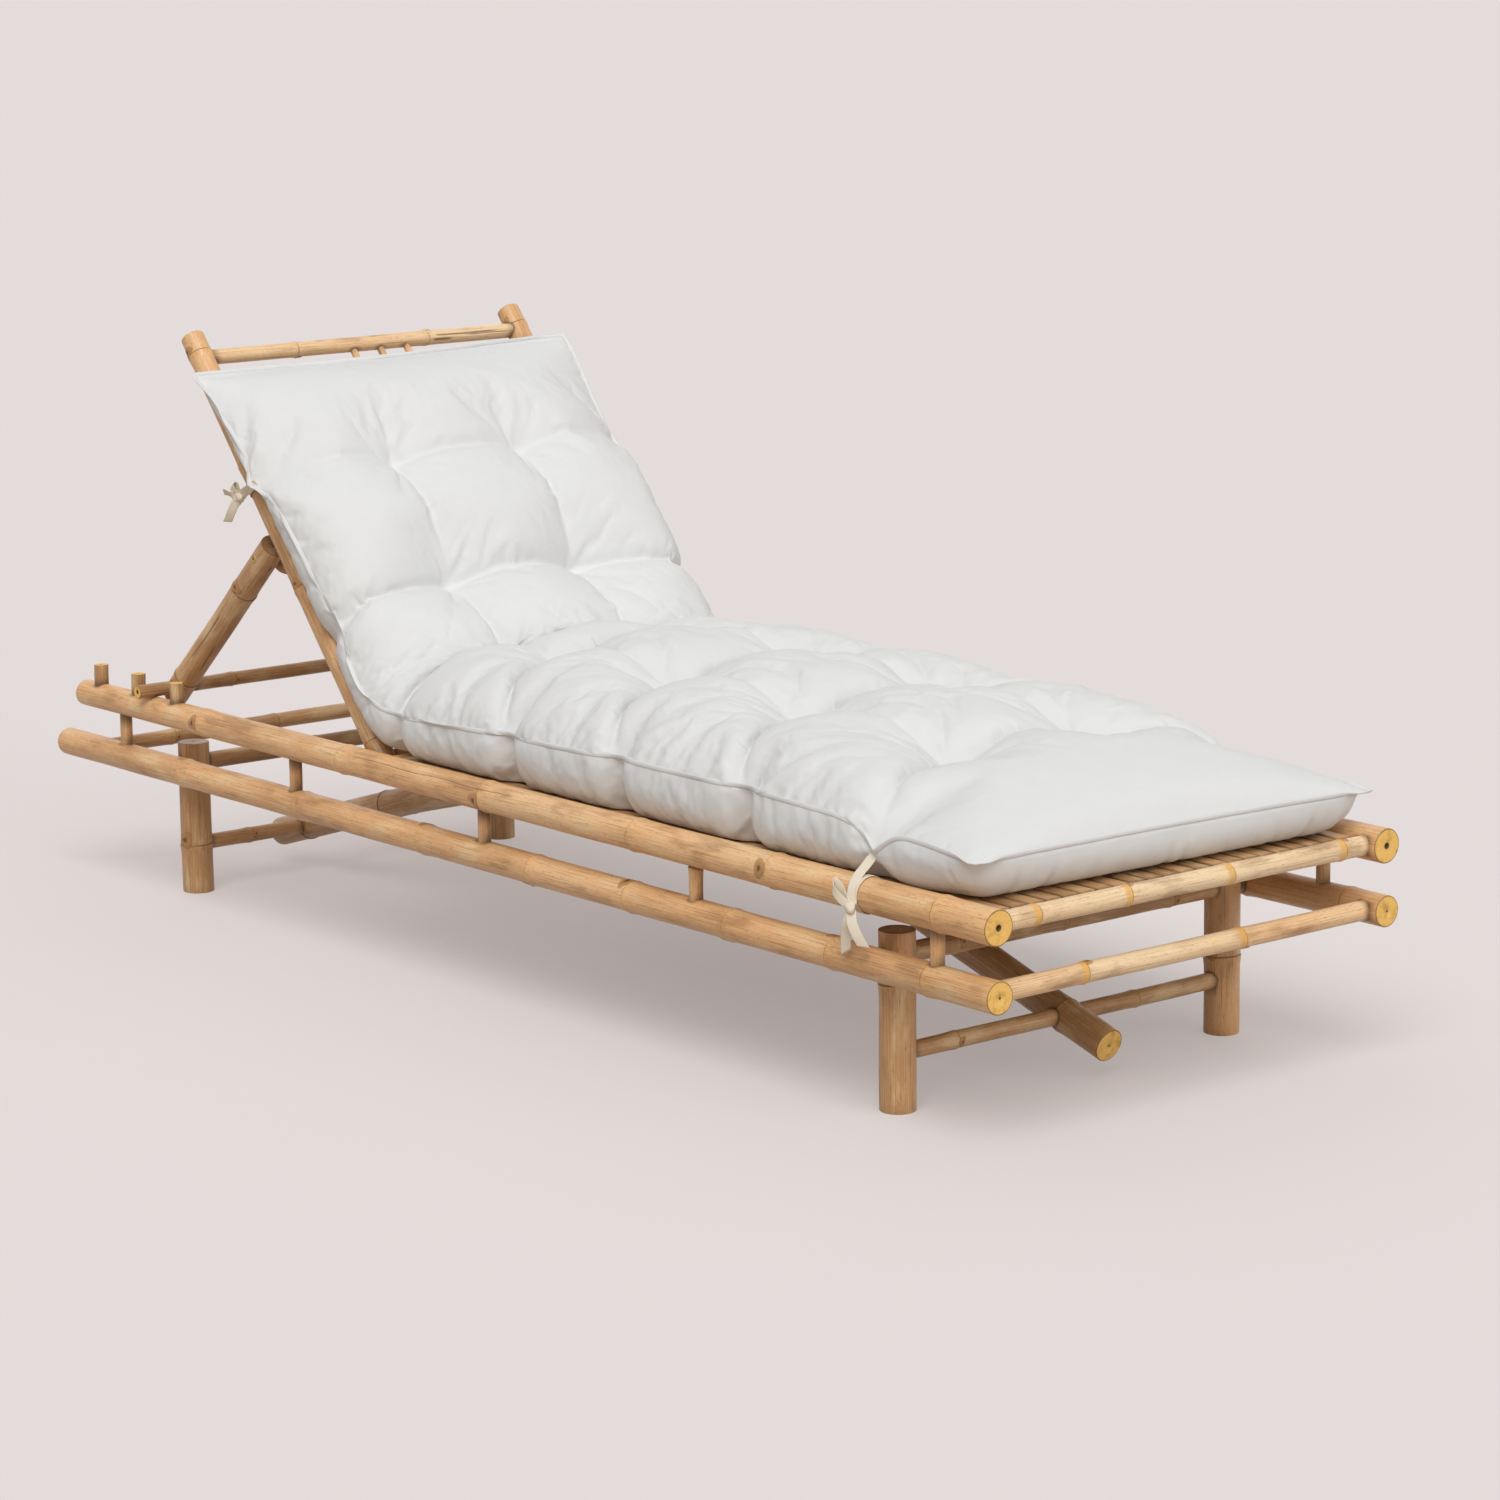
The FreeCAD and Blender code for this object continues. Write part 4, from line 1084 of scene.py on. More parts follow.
def both_sides(run, rise):
    """Even steps of a run from the middle out, as shares of its end, mirrored to go from -1 to 1."""
    half = even_steps(run, rise, COLUMNS // 2 + 1) / run[-1]
    return np.concatenate((-half[:0:-1], half))


unit = np.linspace(0, 1, 400)
ends = even_steps(END_REACH * unit, END_RISE * np.sqrt(unit), END_ROWS)
between = np.linspace(END_REACH, SOLE_LENGTH - END_REACH, int((SOLE_LENGTH - 2 * END_REACH) / CLOTH_STEP))
place = np.concatenate((ends[:-1], between, SOLE_LENGTH - ends[-2::-1]))[:, None]
rows = len(place)
to_end = np.minimum(place, SOLE_LENGTH - place)
spread = smoothstep(to_end / CORNER_SPREAD)
flat = HALF_WIDTH - SIDE_ROLL
turn = unit * math.pi / 2
under_run = np.concatenate((flat * unit, flat + SIDE_ROLL * np.sin(turn)))
under_rise = np.concatenate((0 * unit, SEAM_RISE * (1 - np.cos(turn))))
even_share = np.linspace(-1, 1, COLUMNS)
top_share = both_sides(unit * HALF_WIDTH, SIDE_RISE * cross_crown(unit))
under_share = both_sides(under_run, under_rise)
notches = [bell(place - line, NOTCH_REACH) for line in valley_lines(HALF_WIDTH)]
width = HALF_WIDTH - sum(draw_in * notch for draw_in, notch in zip(NOTCH_DRAWS, notches))
top_across = width * (even_share + (top_share - even_share) * spread)
under_across = width * (even_share + (under_share - even_share) * spread)
print("grid of", rows, "by", COLUMNS, "points for each sheet")

# %% [markdown]
# The under sheet lies flat on the slats and rolls up to the seam at the sides and ends. It rolls wider on
# the back and at the foot's corners, where the bag is slack. At the head it bulges a little past the seam.

# %% Heights of the under sheet
BACK_SIDE_ROLL = 64.0
BACK_ROLL_START = -60.0
BACK_ROLL_REACH = 160.0
CORNER_ROLL = 35.0
CORNER_ROLL_REACH = 150.0
CORNER_POWER = 3.0
FOOT_ROLL = 46.0
HEAD_ROLL = 42.0
HEAD_BULGE = 15.0
BULGE_HALF_WIDTH = 250.0
NOTCH_LIFT = 13.0

roll = smoothstep((place - BEND - BACK_ROLL_START) / BACK_ROLL_REACH)
roll = SIDE_ROLL + (BACK_SIDE_ROLL - SIDE_ROLL) * roll
roll = roll + CORNER_ROLL * (1 - smoothstep(place / CORNER_ROLL_REACH))
side_near = np.clip((abs(under_across) - width + roll) / roll, 0, 1)
foot_near = np.clip(1 - place / FOOT_ROLL, 0, 1)
head_near = np.clip(1 - (SOLE_LENGTH - place) / HEAD_ROLL, 0, 1)
end_near = np.maximum(foot_near, head_near)
near_seam = np.minimum((side_near ** CORNER_POWER + end_near ** CORNER_POWER) ** (1 / CORNER_POWER), 1)
under = seam_height(place, under_across / width) * (1 - np.sqrt(1 - near_seam ** 2))
under = under + NOTCH_LIFT * sum(notches[:5]) * np.sin(math.pi * side_near)
bulge = HEAD_BULGE * np.sin(math.pi * head_near) * np.clip(1 - (under_across / BULGE_HALF_WIDTH) ** 6, 0, 1)
print("under sheet up to", round(float(under.max())), "mm high")

# %% [markdown]
# A place along, a distance across and a height become a point in space through the sole line. Then the two
# grids are joined: the under sheet uses the upper sheet's points along the seam, so that the bag is closed.

# %% Join the two sheets
FOOT_SKEW = 20.0
SKEW_REACH = 160.0

sole_y, sole_z, sole_slope = sole_line(place)


def lift(across, height, further=0):
    """Points at a distance across and a height above the sole line, at right angles to its slope, in
    metres. The foot end runs a little askew, nearer to the head on the right side, and some points lie
    further along."""
    skew = FOOT_SKEW * (1 - across / width) / 2 * (1 - smoothstep(place / SKEW_REACH))
    y = sole_y + skew - height * np.sin(sole_slope) + further * np.cos(sole_slope)
    z = sole_z + height * np.cos(sole_slope) + further * np.sin(sole_slope)
    return np.stack((across, y, z), -1) * MM


def quads_of(index):
    """The four corners of every cell of an index grid, counter-clockwise seen from above the cloth."""
    return np.stack((index[:-1, :-1], index[:-1, 1:], index[1:, 1:], index[1:, :-1]), -1).reshape(-1, 4)


def inner(grid):
    """A grid without its outermost ring."""
    return grid[1:-1, 1:-1]


top_index = np.arange(rows * COLUMNS).reshape(rows, COLUMNS)
under_index = top_index.copy()
inner(under_index)[:] = rows * COLUMNS + np.arange((rows - 2) * (COLUMNS - 2)).reshape(rows - 2, COLUMNS - 2)
top_points = lift(top_across, top_height(place, top_across, width))
under_points = inner(lift(under_across, under, bulge))
bag_points = np.concatenate((top_points.reshape(-1, 3), under_points.reshape(-1, 3)))
bag_quads = np.concatenate((quads_of(top_index), quads_of(under_index)[:, ::-1]))
print("bag", len(bag_points), "points")

# %% [markdown]
# ## Holding the bag
#
# Real fill presses the cloth outwards, and the cloth has a little more length than the shape needs, so it
# gathers into folds round the pits and along the seam. Folds like these could be sculpted, but cloth
# simulation finds them by itself. First it has to know what holds still: the sole on the slats, the pits,
# the corners, the head's edge and the ties. The foot's panel, the head and the seam get no spare cloth, so
# they stay smooth.

# %% Mark what holds and what gathers
PIT_HOLD = 6.5
CORNER_HOLD = 9.0
TIE_HOLD = 7.0
TIE_SHARE = 0.37
PLAIN_FOOT = 150.0
PLAIN_HEAD = 80.0
PLAIN_FADE = 120.0
PLAIN_BEND = 60.0
BACK_PLAIN = 0.4
UNDER_PLAIN = 0.6
WEIGHT_LEVELS = 5
CLOTH_SEED = 5
CLOTH_STRAY = 0.25 * MM

pit_away = np.min([np.hypot(place - row, top_across - x) for row, x in pits], axis=0)
corner_away = np.hypot(to_end, abs(top_across) - width)
on_seam = np.ones(top_across.shape, bool)
inner(on_seam)[:] = False
head_edge = np.zeros(top_across.shape, bool)
head_edge[-2:] = True
tied = on_seam & (sum(bell(place - tie, TIE_HOLD) for tie in TIE_PLACES) > TIE_SHARE)
held = (pit_away < PIT_HOLD) | (corner_away < CORNER_HOLD) | head_edge | tied
plain = 1 - smoothstep((place - PLAIN_FOOT) / PLAIN_FADE)
plain = np.maximum(plain, smoothstep((place - SOLE_LENGTH + PLAIN_HEAD + PLAIN_FADE) / PLAIN_FADE))
plain = np.maximum(plain, BACK_PLAIN * smoothstep((place - BEND - PLAIN_BEND) / PLAIN_FADE))
top_plain = np.where(on_seam, 1, plain)
under_plain = np.where(near_seam < 0.05, 1, np.maximum(plain, UNDER_PLAIN))
draw = np.random.default_rng(CLOTH_SEED)
start_points = bag_points + draw.normal(0, CLOTH_STRAY, bag_points.shape)
bag = {"points": start_points, "quads": bag_quads, "caps": ()}
cushion = piece("cushion", [bag], None, ())


def mark(name, on_top, on_under):
    """A vertex group of both sheets, with the given weights rounded to a few levels."""
    weight = np.concatenate((on_top.ravel(), inner(on_under).ravel())).astype(float)
    level = np.round(weight * WEIGHT_LEVELS)
    group = cushion.vertex_groups.new(name=name)
    for step in range(1, WEIGHT_LEVELS + 1):
        group.add(np.flatnonzero(level == step).tolist(), step / WEIGHT_LEVELS, "REPLACE")
    return name


print("held points on the upper sheet:", int(held.sum()))

# %% [markdown]
# ## Filling the bag
#
# Pressure inflates the bag for a few frames. A negative shrink lets the marked cloth grow, which is the
# spare length that gathers. No point may move further than a cap, so a wild fold can't tear away. Gravity
# is off, because the sole is held and the fill is light.

# %% Inflate the bag
FILL_FRAMES = 20
MOVE_CAP = 28 * MM
CLOTH = {
    "quality": 4, "mass": 0.25, "tension_stiffness": 25, "compression_stiffness": 25, "shear_stiffness": 6,
    "bending_stiffness": 0.04, "air_damping": 3, "use_pressure": True, "uniform_pressure_force": 4.0,
    "shrink_min": -0.07, "shrink_max": 0.0,
}


def fill_bag():
    """Runs the cloth simulation and returns the points, moved no further than the cap."""
    cloth = cushion.modifiers.new("fill", "CLOTH")
    for name, value in CLOTH.items():
        setattr(cloth.settings, name, value)
    cloth.settings.vertex_group_mass = mark("held", held, near_seam <= 0)
    cloth.settings.vertex_group_shrink = mark("no spare cloth", top_plain, under_plain)
    cloth.settings.effector_weights.gravity = 0
    scene = bpy.context.scene
    for step in range(1, FILL_FRAMES + 1):
        scene.frame_set(step)
    filled = cushion.evaluated_get(bpy.context.evaluated_depsgraph_get()).data
    flat = np.empty(3 * len(start_points), np.float32)
    filled.vertices.foreach_get("co", flat)
    cushion.modifiers.remove(cloth)
    scene.frame_set(1)
    move = flat.reshape(-1, 3) - start_points
    far = np.linalg.norm(move, axis=1, keepdims=True)
    print("moved by", np.round((far.mean() / MM, far.max() / MM), 1), "mm on average and at most")
    return start_points + move * np.minimum(1, MOVE_CAP / np.maximum(far, 1e-9))


full_points = fill_bag()

# %% [markdown]
# ## Creases
#
# Thread draws cloth into narrow creases that run out from every pit, along the valleys, and in from the
# seam. The simulated sheet is too coarse to fold that finely, and a finer one would take too long. So
# creases are pressed in afterwards: each is a groove beside a line on the flat sheet, and the cloth moves
# along its own normal.

# %% Grooves
CREASE_WIDTH = 5.2
PUCKER = 4.6
PUCKER_SPACING = 46.0
PUCKER_LENGTHS = (30.0, 85.0)
PUCKER_START = 16.0
TUFT_CREASE = 4.6
TUFT_CREASES = 9
TUFT_CREASE_LENGTHS = (45.0, 130.0)
TUFT_CREASE_START = 14.0


def crease(aside, depth):
    """A groove: a bell-shaped dip across its line, less a wider and lower bell, which leaves a ridge on
    each side."""
    return depth * (1.3 * bell(aside, CREASE_WIDTH) - 0.3 * bell(aside, 2.2 * CREASE_WIDTH))


def puckers(along, inward, end, draw):
    """Grooves that run in from an edge: each starts at its own place along the edge, slants a little,
    begins just inside the edge, and fades out over its own length."""
    pressed = 0
    for start in np.arange(PUCKER_SPACING / 2, end, PUCKER_SPACING):
        aside = along - start - draw.uniform(-20, 20) - draw.uniform(-0.5, 0.5) * inward
        shown = smoothstep(inward / PUCKER_START) * (1 - smoothstep(inward / draw.uniform(*PUCKER_LENGTHS)))
        pressed = pressed + crease(aside, PUCKER * draw.uniform(0.2, 1) * shown)
    return pressed


def pit_creases(along, across, draw):
    """Grooves that run out from a pit like rays: evenly turned with some stray, each bent a little as a
    parabola, and fading out over its own length."""
    pressed = 0
    for number in range(TUFT_CREASES):
        turn = 2 * math.pi * (number + draw.uniform(-0.35, 0.35)) / TUFT_CREASES
        length = draw.uniform(*TUFT_CREASE_LENGTHS)
        ahead = along * math.sin(turn) + across * math.cos(turn)
        aside = along * math.cos(turn) - across * math.sin(turn)
        aside = aside + draw.uniform(-0.2, 0.2) * ahead ** 2 / length
        shown = smoothstep(ahead / TUFT_CREASE_START) * (1 - smoothstep(ahead / length))
        pressed = pressed + crease(aside, TUFT_CREASE * draw.uniform(0.4, 1) * shown)
    return pressed


print("creases", CREASE_WIDTH, "mm wide,", TUFT_CREASES, "at each pit")

# %% Press the creases in
VALLEY_CREASE = 3.0
VALLEY_UNEVEN = 47.0
SMOOTH_FOOT = 60.0
CREASE_SEED = 23

draw = np.random.default_rng(CREASE_SEED)
column = np.arange(COLUMNS)
from_side = CLOTH_STEP * np.minimum(column, COLUMNS - 1 - column)
pressed = np.zeros(top_across.shape)
under_pressed = np.zeros(top_across.shape)
for line, at_side in zip(valley_lines(top_across), VALLEY_AT_SIDES):
    uneven = 0.6 + 0.4 * np.sin(top_across / VALLEY_UNEVEN + draw.uniform(0, 6))
    fade = valley_fade(top_across, top_across / width, at_side)
    pressed = pressed + crease(place - line, VALLEY_CREASE * uneven * fade)
for row, x in pits:
    pressed = pressed + pit_creases(place - row, top_across - x, draw)
pressed = pressed * smoothstep(place / SMOOTH_FOOT)
for half in (column < COLUMNS // 2, column > COLUMNS // 2):
    pressed = pressed + half * puckers(place, from_side, SOLE_LENGTH, draw)
    under_pressed = under_pressed + half * puckers(place, from_side, SOLE_LENGTH, draw)
under_pressed = under_pressed + puckers(under_across + HALF_WIDTH, place, 2 * HALF_WIDTH, draw)
under_pressed = under_pressed * smoothstep(near_seam / 0.3)


def pressed_in(grid, depth):
    """A grid of points moved by a depth in millimetres against its normals, which are the cross products of
    its steps across and along."""
    normals = unit_rows(np.cross(np.gradient(grid, axis=1), np.gradient(grid, axis=0)))
    return grid - depth[..., None] * MM * normals


top_grid = pressed_in(full_points[top_index], pressed)
under_grid = pressed_in(full_points[under_index], -under_pressed)
full_points[inner(under_index)] = inner(under_grid)
full_points[inner(top_index)] = inner(top_grid)
print("creases up to", round(float(pressed.max()), 1), "mm deep")

# %% [markdown]
# ## Seating the cushion
#
# Pressure also swells the under sheet, which on the real lounger rests on slats and poles. So points are
# moved back to the sole line where they sank below it, and out of the rails and stiles along the shortest
# way. The seam itself is smoothed, because thread pulls it straight.

# %% Seat the cushion
REST_GAP = 0.6 * MM
SEAM_SMOOTHING = 10


def around_edge(grid):
    """The outermost ring of a grid, once round: out along one side, across the head, back, and across the
    foot."""
    return np.concatenate((grid[:-1, 0], grid[-1, :-1], grid[:0:-1, -1], grid[0, :0:-1]))


def smooth_round(ring, times, fixed):
    """A closed row of points, each moved towards the middle of its neighbours several times, save the fixed
    ones."""
    for step in range(times):
        moved = (np.roll(ring, 1, 0) + 2 * ring + np.roll(ring, -1, 0)) / 4
        ring = np.where(fixed[:, None], ring, moved)
    return ring


def clear_of_pole(points, node, gap):
    """Points inside a pole's radius are moved straight out from its axis to the radius plus a gap."""
    pole = next(pole for pole in poles if pole["node"] == node)
    run = pole["end"] - pole["start"]
    share = np.clip((points - pole["start"]) @ run / (run @ run), 0, 1)
    away = points - pole["start"] - share[:, None] * run
    reach = np.linalg.norm(away, axis=1, keepdims=True)
    need = max(pole["radii"]) * (1 + RING_SWELL) + gap
    return np.where(reach < need, points + away * (need / np.maximum(reach, 1e-9) - 1), points)


seam_ring = around_edge(top_index)
sharp = ((corner_away < CORNER_HOLD) | tied).ravel()[seam_ring]
full_points[seam_ring] = smooth_round(full_points[seam_ring], SEAM_SMOOTHING, sharp)
over_seat = full_points[:, 2] - SOLE_Z * MM
over_back = (full_points - hinge) @ back_out - SOLE_OUT * MM
on_seat = (full_points - np.array((0, *corner)) * MM) @ (TO_HEAD + back_along) < 0
seated = full_points - np.where(on_seat, np.minimum(over_seat, 0), 0)[:, None] * UP
seated = seated - np.where(on_seat, 0, np.minimum(over_back, 0))[:, None] * back_out
for side in SIDES:
    seated = clear_of_pole(seated, f"upper_rail_{side}", REST_GAP)
    seated = clear_of_pole(seated, f"stile_{side}", REST_GAP)
cushion.data.vertices.foreach_set("co", seated.astype(np.float32).ravel())
cushion.vertex_groups.clear()
print("seated", int((seated != full_points).any(1).sum()), "points")

# %% [markdown]
# ## Cotton
#
# The cover is bleached cotton in a plain weave: matt, slightly warm in its folds, with a fine crossed
# texture. The threads follow the cloth, not space, so the weave reads each point's place in the flat sheet.

# %% Weave the cover
COTTON = linear("#e0e0df")
COTTON_SHADE = linear("#dbdbda")
THREAD_MM = 1.5
BANDS_PER_UNIT = 3.18
SLUB_MM = 30.0

sheet_place = np.stack(np.broadcast_arrays(place, CLOTH_STEP * column, 0 * place), -1) * MM
weave_map = np.concatenate((sheet_place.ravel(), inner(sheet_place).ravel())).astype(np.float32)
cushion.data.attributes.new("grain", "FLOAT_VECTOR", "POINT").data.foreach_set("vector", weave_map)


def cotton_cloth(name, light, shade, thread_mm):
    """Plain weave: two crossed wave patterns, multiplied, as a fine bump, and a faint change of colour."""
    # Bleached cotton, woven and washed: matt, with a soft sheen of loose fibres and a faint cloud of slubs.
    # Cotton threads lie about 0.4 mm apart. They are drawn coarser so that they show.
    material, tree = new_material(name)
    grain = add(tree, "Attribute", {"attribute_name": "grain"})["Vector"]
    scale = 1 / (thread_mm * MM * BANDS_PER_UNIT)
    threads = {"Vector": grain, "Scale": scale, "Distortion": 0.6, "Detail": 1.0}
    warp = add(tree, "TexWave", {"bands_direction": "X"}, threads)["Fac"]
    weft = add(tree, "TexWave", {"bands_direction": "Y"}, threads)["Fac"]
    weave = add(tree, "Math", {"operation": "MULTIPLY"}, {0: warp, 1: weft})[0]
    slub = add(tree, "TexNoise", inputs={"Vector": grain, "Scale": 1 / (SLUB_MM * MM), "Detail": 6.0})["Fac"]
    colour = add(tree, "Mix", COLOUR, {FACTOR: slub, COLOUR_A: light, COLOUR_B: shade})[COLOUR_OUT]
    bump = add(tree, "Bump", inputs={"Height": weave, "Strength": 0.15, "Distance": 0.25 * MM})["Normal"]
    woven = {"Base Color": colour, "Normal": bump, "Roughness": 0.92, "IOR": 1.45, "Sheen Weight": 0.06}
    shader = add(tree, "BsdfPrincipled", inputs=woven)["BSDF"]
    add(tree, "OutputMaterial", inputs={"Surface": shader})
    return material


cotton = cotton_cloth("cotton, plain weave", COTTON, COTTON_SHADE, THREAD_MM)
cushion.data.materials.append(cotton)
print(cotton.name, len(cotton.node_tree.nodes), "nodes")

# %% [markdown]
# A subdivision smooths the cells of the grid away. It would round the seam too, so the seam's edges are
# creased.

ends_of_edges = np.empty(2 * len(cushion.data.edges), np.int32)
cushion.data.edges.foreach_get("vertices", ends_of_edges)
seam_points = np.zeros(len(seated), bool)
seam_points[top_index[on_seam]] = True
seam_edges = seam_points[ends_of_edges.reshape(-1, 2)].all(1).astype(np.float32)
cushion.data.attributes.new("crease_edge", "FLOAT", "EDGE").data.foreach_set("value", seam_edges)
smooth = cushion.modifiers.new("smooth", "SUBSURF")
smooth.levels = 1
smooth.render_levels = 1
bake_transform(cushion)
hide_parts("seat_cushion", "back_cushion")
print("cushion", len(cushion.data.polygons), "faces")

# %% [markdown]
# ## The seam lip
#
# Where the two sheets are sewn together, their raw edges make a thin lip that stands out all round. It is
# too thin for the filled bag's mesh, so it is a flat section carried along the bag's edge, pointing away
# from the cloth.

# %% Sew the seam lip
LIP_WIDTH = 3.2 * MM
LIP_THICKNESS = 1.1 * MM
LIP_OUT = 2.4 * MM
LIP_TURN_UP = 0.4
LIP_POINTS = 10
LIP_SMOOTHING = 14

tuck = np.ix_(np.clip(np.arange(rows), 1, rows - 2), np.clip(column, 1, COLUMNS - 2))
edge = seated[seam_ring]
inside = (seated[around_edge(top_index[tuck])] + seated[around_edge(under_index[tuck])]) / 2
ahead = unit_rows(np.roll(edge, -1, 0) - np.roll(edge, 1, 0))
outward = smooth_round(unit_rows(edge - inside), LIP_SMOOTHING, np.zeros(len(edge), bool))
outward = outward + LIP_TURN_UP * UP
outward = unit_rows(outward - (outward * ahead).sum(1, keepdims=True) * ahead)
sideways = np.cross(ahead, outward)
lip_turn = np.linspace(0, 2 * math.pi, LIP_POINTS, endpoint=False)
lip_out = LIP_WIDTH * np.cos(lip_turn)[None, :, None]
lip_aside = LIP_THICKNESS * np.sin(lip_turn)[None, :, None]
lip = edge[:, None] + (LIP_OUT + lip_out) * outward[:, None] + lip_aside * sideways[:, None]
lip_along = CLOTH_STEP * MM * np.arange(len(edge))[:, None]
lip_grain = np.stack(np.broadcast_arrays(lip_along, lip_out[..., 0], 0), -1)
lip_faces = tube_faces(len(edge), LIP_POINTS, closed=True)
lip_arrays = {**lip_faces, "points": lip.reshape(-1, 3), "grain": lip_grain.reshape(-1, 3)}
seam = piece("cushion_seam", [lip_arrays], None, (cotton,))
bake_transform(seam)
print("seam", round(np.linalg.norm(np.diff(edge, axis=0), axis=1).sum(), 2), "m")

# %% [markdown]
# ## The ties
#
# Four cream cotton tapes hold the cushion: two to the long rails, two to the backrest's stiles. Each goes
# once round its pole and ends in a half bow, with one loop and two tails cut on the slant. Tape could be
# simulated, but at 13 mm it is too narrow for that, so it is a flat section carried along a curve through a
# few chosen points.

# %% Carry tape along a curve
TAPE_HALF_WIDTH = 6.3 * MM
TAPE_HALF_THICKNESS = 0.55 * MM
TAPE_POINTS = 12
TAPE_STEP = 2.2 * MM
SLANT = 0.75
SLANT_ROWS = 7
EDGE_ROUND = (0.5, 0.6)
TAPE_TWIST = (-0.45, 0.89, 0.0)
KNOT_SIZE = np.array((5.5, 7.5, 7.0)) * MM
KNOT_ROWS = 15
KNOT_COLUMNS = 24
KNOT_POLE = 0.02


def curve_through(points, step):
    """A smooth curve through points, with even steps: each coordinate is eased over the distance along
    them."""
    points = np.array(points, float)
    chord = np.concatenate(([0], np.cumsum(np.linalg.norm(np.diff(points, axis=0), axis=1))))
    at = np.linspace(0, chord[-1], max(6, int(chord[-1] / step)))
    return np.stack([eased(at, chord, points[:, axis]) for axis in range(points.shape[1])], 1)


def tape_arrays(points, across, cut=0.0, closed=False, narrow=1.0):
    """Tape along a curve: a flat oval section, wide along across and thin along the curve's other side. The
    last rows are pushed along the curve in proportion to their place across, which makes the slanted
    cut."""
    line = np.array(points, float) if closed else curve_through(points, TAPE_STEP)
    ahead = np.roll(line, -1, 0) - np.roll(line, 1, 0)
    if not closed:
        ahead[0], ahead[-1] = line[1] - line[0], line[-1] - line[-2]
    ahead = unit_rows(ahead)
    across = unit_rows(across - (ahead @ across)[:, None] * ahead)
    face = np.cross(ahead, across)
    turn = np.linspace(0, 2 * math.pi, TAPE_POINTS, endpoint=False)
    wide = np.sign(np.cos(turn)) * abs(np.cos(turn)) ** EDGE_ROUND[0] * TAPE_HALF_WIDTH * narrow
    thick = np.sign(np.sin(turn)) * abs(np.sin(turn)) ** EDGE_ROUND[1] * TAPE_HALF_THICKNESS
    made = line[:, None] + wide[None, :, None] * across[:, None] + thick[None, :, None] * face[:, None]
    if cut:
        ramp = smoothstep((np.arange(len(line)) - len(line) + SLANT_ROWS) / (SLANT_ROWS - 1))[:, None, None]
        made = made + ramp * cut * wide[None, :, None] * ahead[:, None]
    run = TAPE_STEP * np.arange(len(line))[:, None]
    grain = np.stack(np.broadcast_arrays(run, wide[None, :], thick[None, :]), -1)
    faces = tube_faces(len(line), TAPE_POINTS, closed)
    return {**faces, "points": made.reshape(-1, 3), "grain": grain.reshape(-1, 3)}


def knot_arrays(middle):
    """A tight knot: an oval ball whose radius swells in two crossing bands of wound tape."""
    rise = np.linspace(KNOT_POLE, math.pi - KNOT_POLE, KNOT_ROWS)[:, None]
    turn = np.linspace(0, 2 * math.pi, KNOT_COLUMNS, endpoint=False)[None, :]
    swell = 1 + 0.10 * np.cos(2 * turn + 3 * rise + 1) + 0.07 * np.cos(3 * turn - 4 * rise)
    ball = (np.sin(rise) * np.cos(turn), np.sin(rise) * np.sin(turn), -np.cos(rise))
    made = middle + np.stack(np.broadcast_arrays(*ball), -1) * swell[..., None] * KNOT_SIZE
    grain = np.stack(np.broadcast_arrays(KNOT_SIZE[2] * turn, KNOT_SIZE[2] * rise, 0), -1)
    faces = tube_faces(KNOT_ROWS, KNOT_COLUMNS)
    return {**faces, "points": made.reshape(-1, 3), "grain": grain.reshape(-1, 3)}


print("tape", 2 * TAPE_HALF_WIDTH / MM, "mm wide")

# %% [markdown]
# Each tie is described in its pole's own axes: across the lounger, along the pole, and out of the seat or
# the back. The same points then serve the level rails and the sloping stiles, and mirror to the other side.

# %% Tie the cushion to the poles
TAPE_CREAM = linear("#ece2cf")
TAPE_CREAM_SHADE = linear("#e0d3bb")
TAPE_THREAD_MM = 1.1
BAND_POINTS = 72
BAND_GAP = 0.9
BAND_ALONG = 2.0
LOOP_NARROW = 0.8
tape_cotton = cotton_cloth("cotton tape, woven", TAPE_CREAM, TAPE_CREAM_SHADE, TAPE_THREAD_MM)

RAIL_TIE = {
    "along": -779, "radius": 21.25, "centre": (-311, 264),
    "strap": ((-297, 6, 308), (-303, 6, 303), (-311, 6, 296), (-322, 6, 287), (-333, 3, 272),
              (-337, 0, 256)),
    "loop": ((-337, 0, 254), (-345, 9, 262), (-347, 20, 274), (-341, 25, 280), (-337, 18, 272),
             (-338, 4, 256)),
    "tails": (((-338, 0, 250), (-341, 2, 236), (-340, 7, 220), (-338, 9, 200)),
              ((-338, 0, 250), (-342, -6, 238), (-342, -15, 224), (-339, -23, 211))),
    "knot": (-339, 0, 252),
}
STILE_TIE = {
    "along": 430, "radius": 16.5, "centre": (-268, 0),
    "strap": ((-300, -14, 40), (-299, -8, 24), (-294, -3, 8), (-290, 3, -8), (-288, 5, -20)),
    "loop": ((-288, 5, -22), (-294, 12, -22), (-297, 21, -19), (-293, 23, -16), (-290, 16, -19),
             (-288, 6, -22)),
    "tails": (((-288, 5, -24), (-293, 2, -36), (-295, -3, -50), (-294, -6, -66)),
              ((-288, 5, -24), (-295, 12, -29), (-297, 20, -34), (-296, 28, -43))),
    "knot": (-289, 5, -23),
}


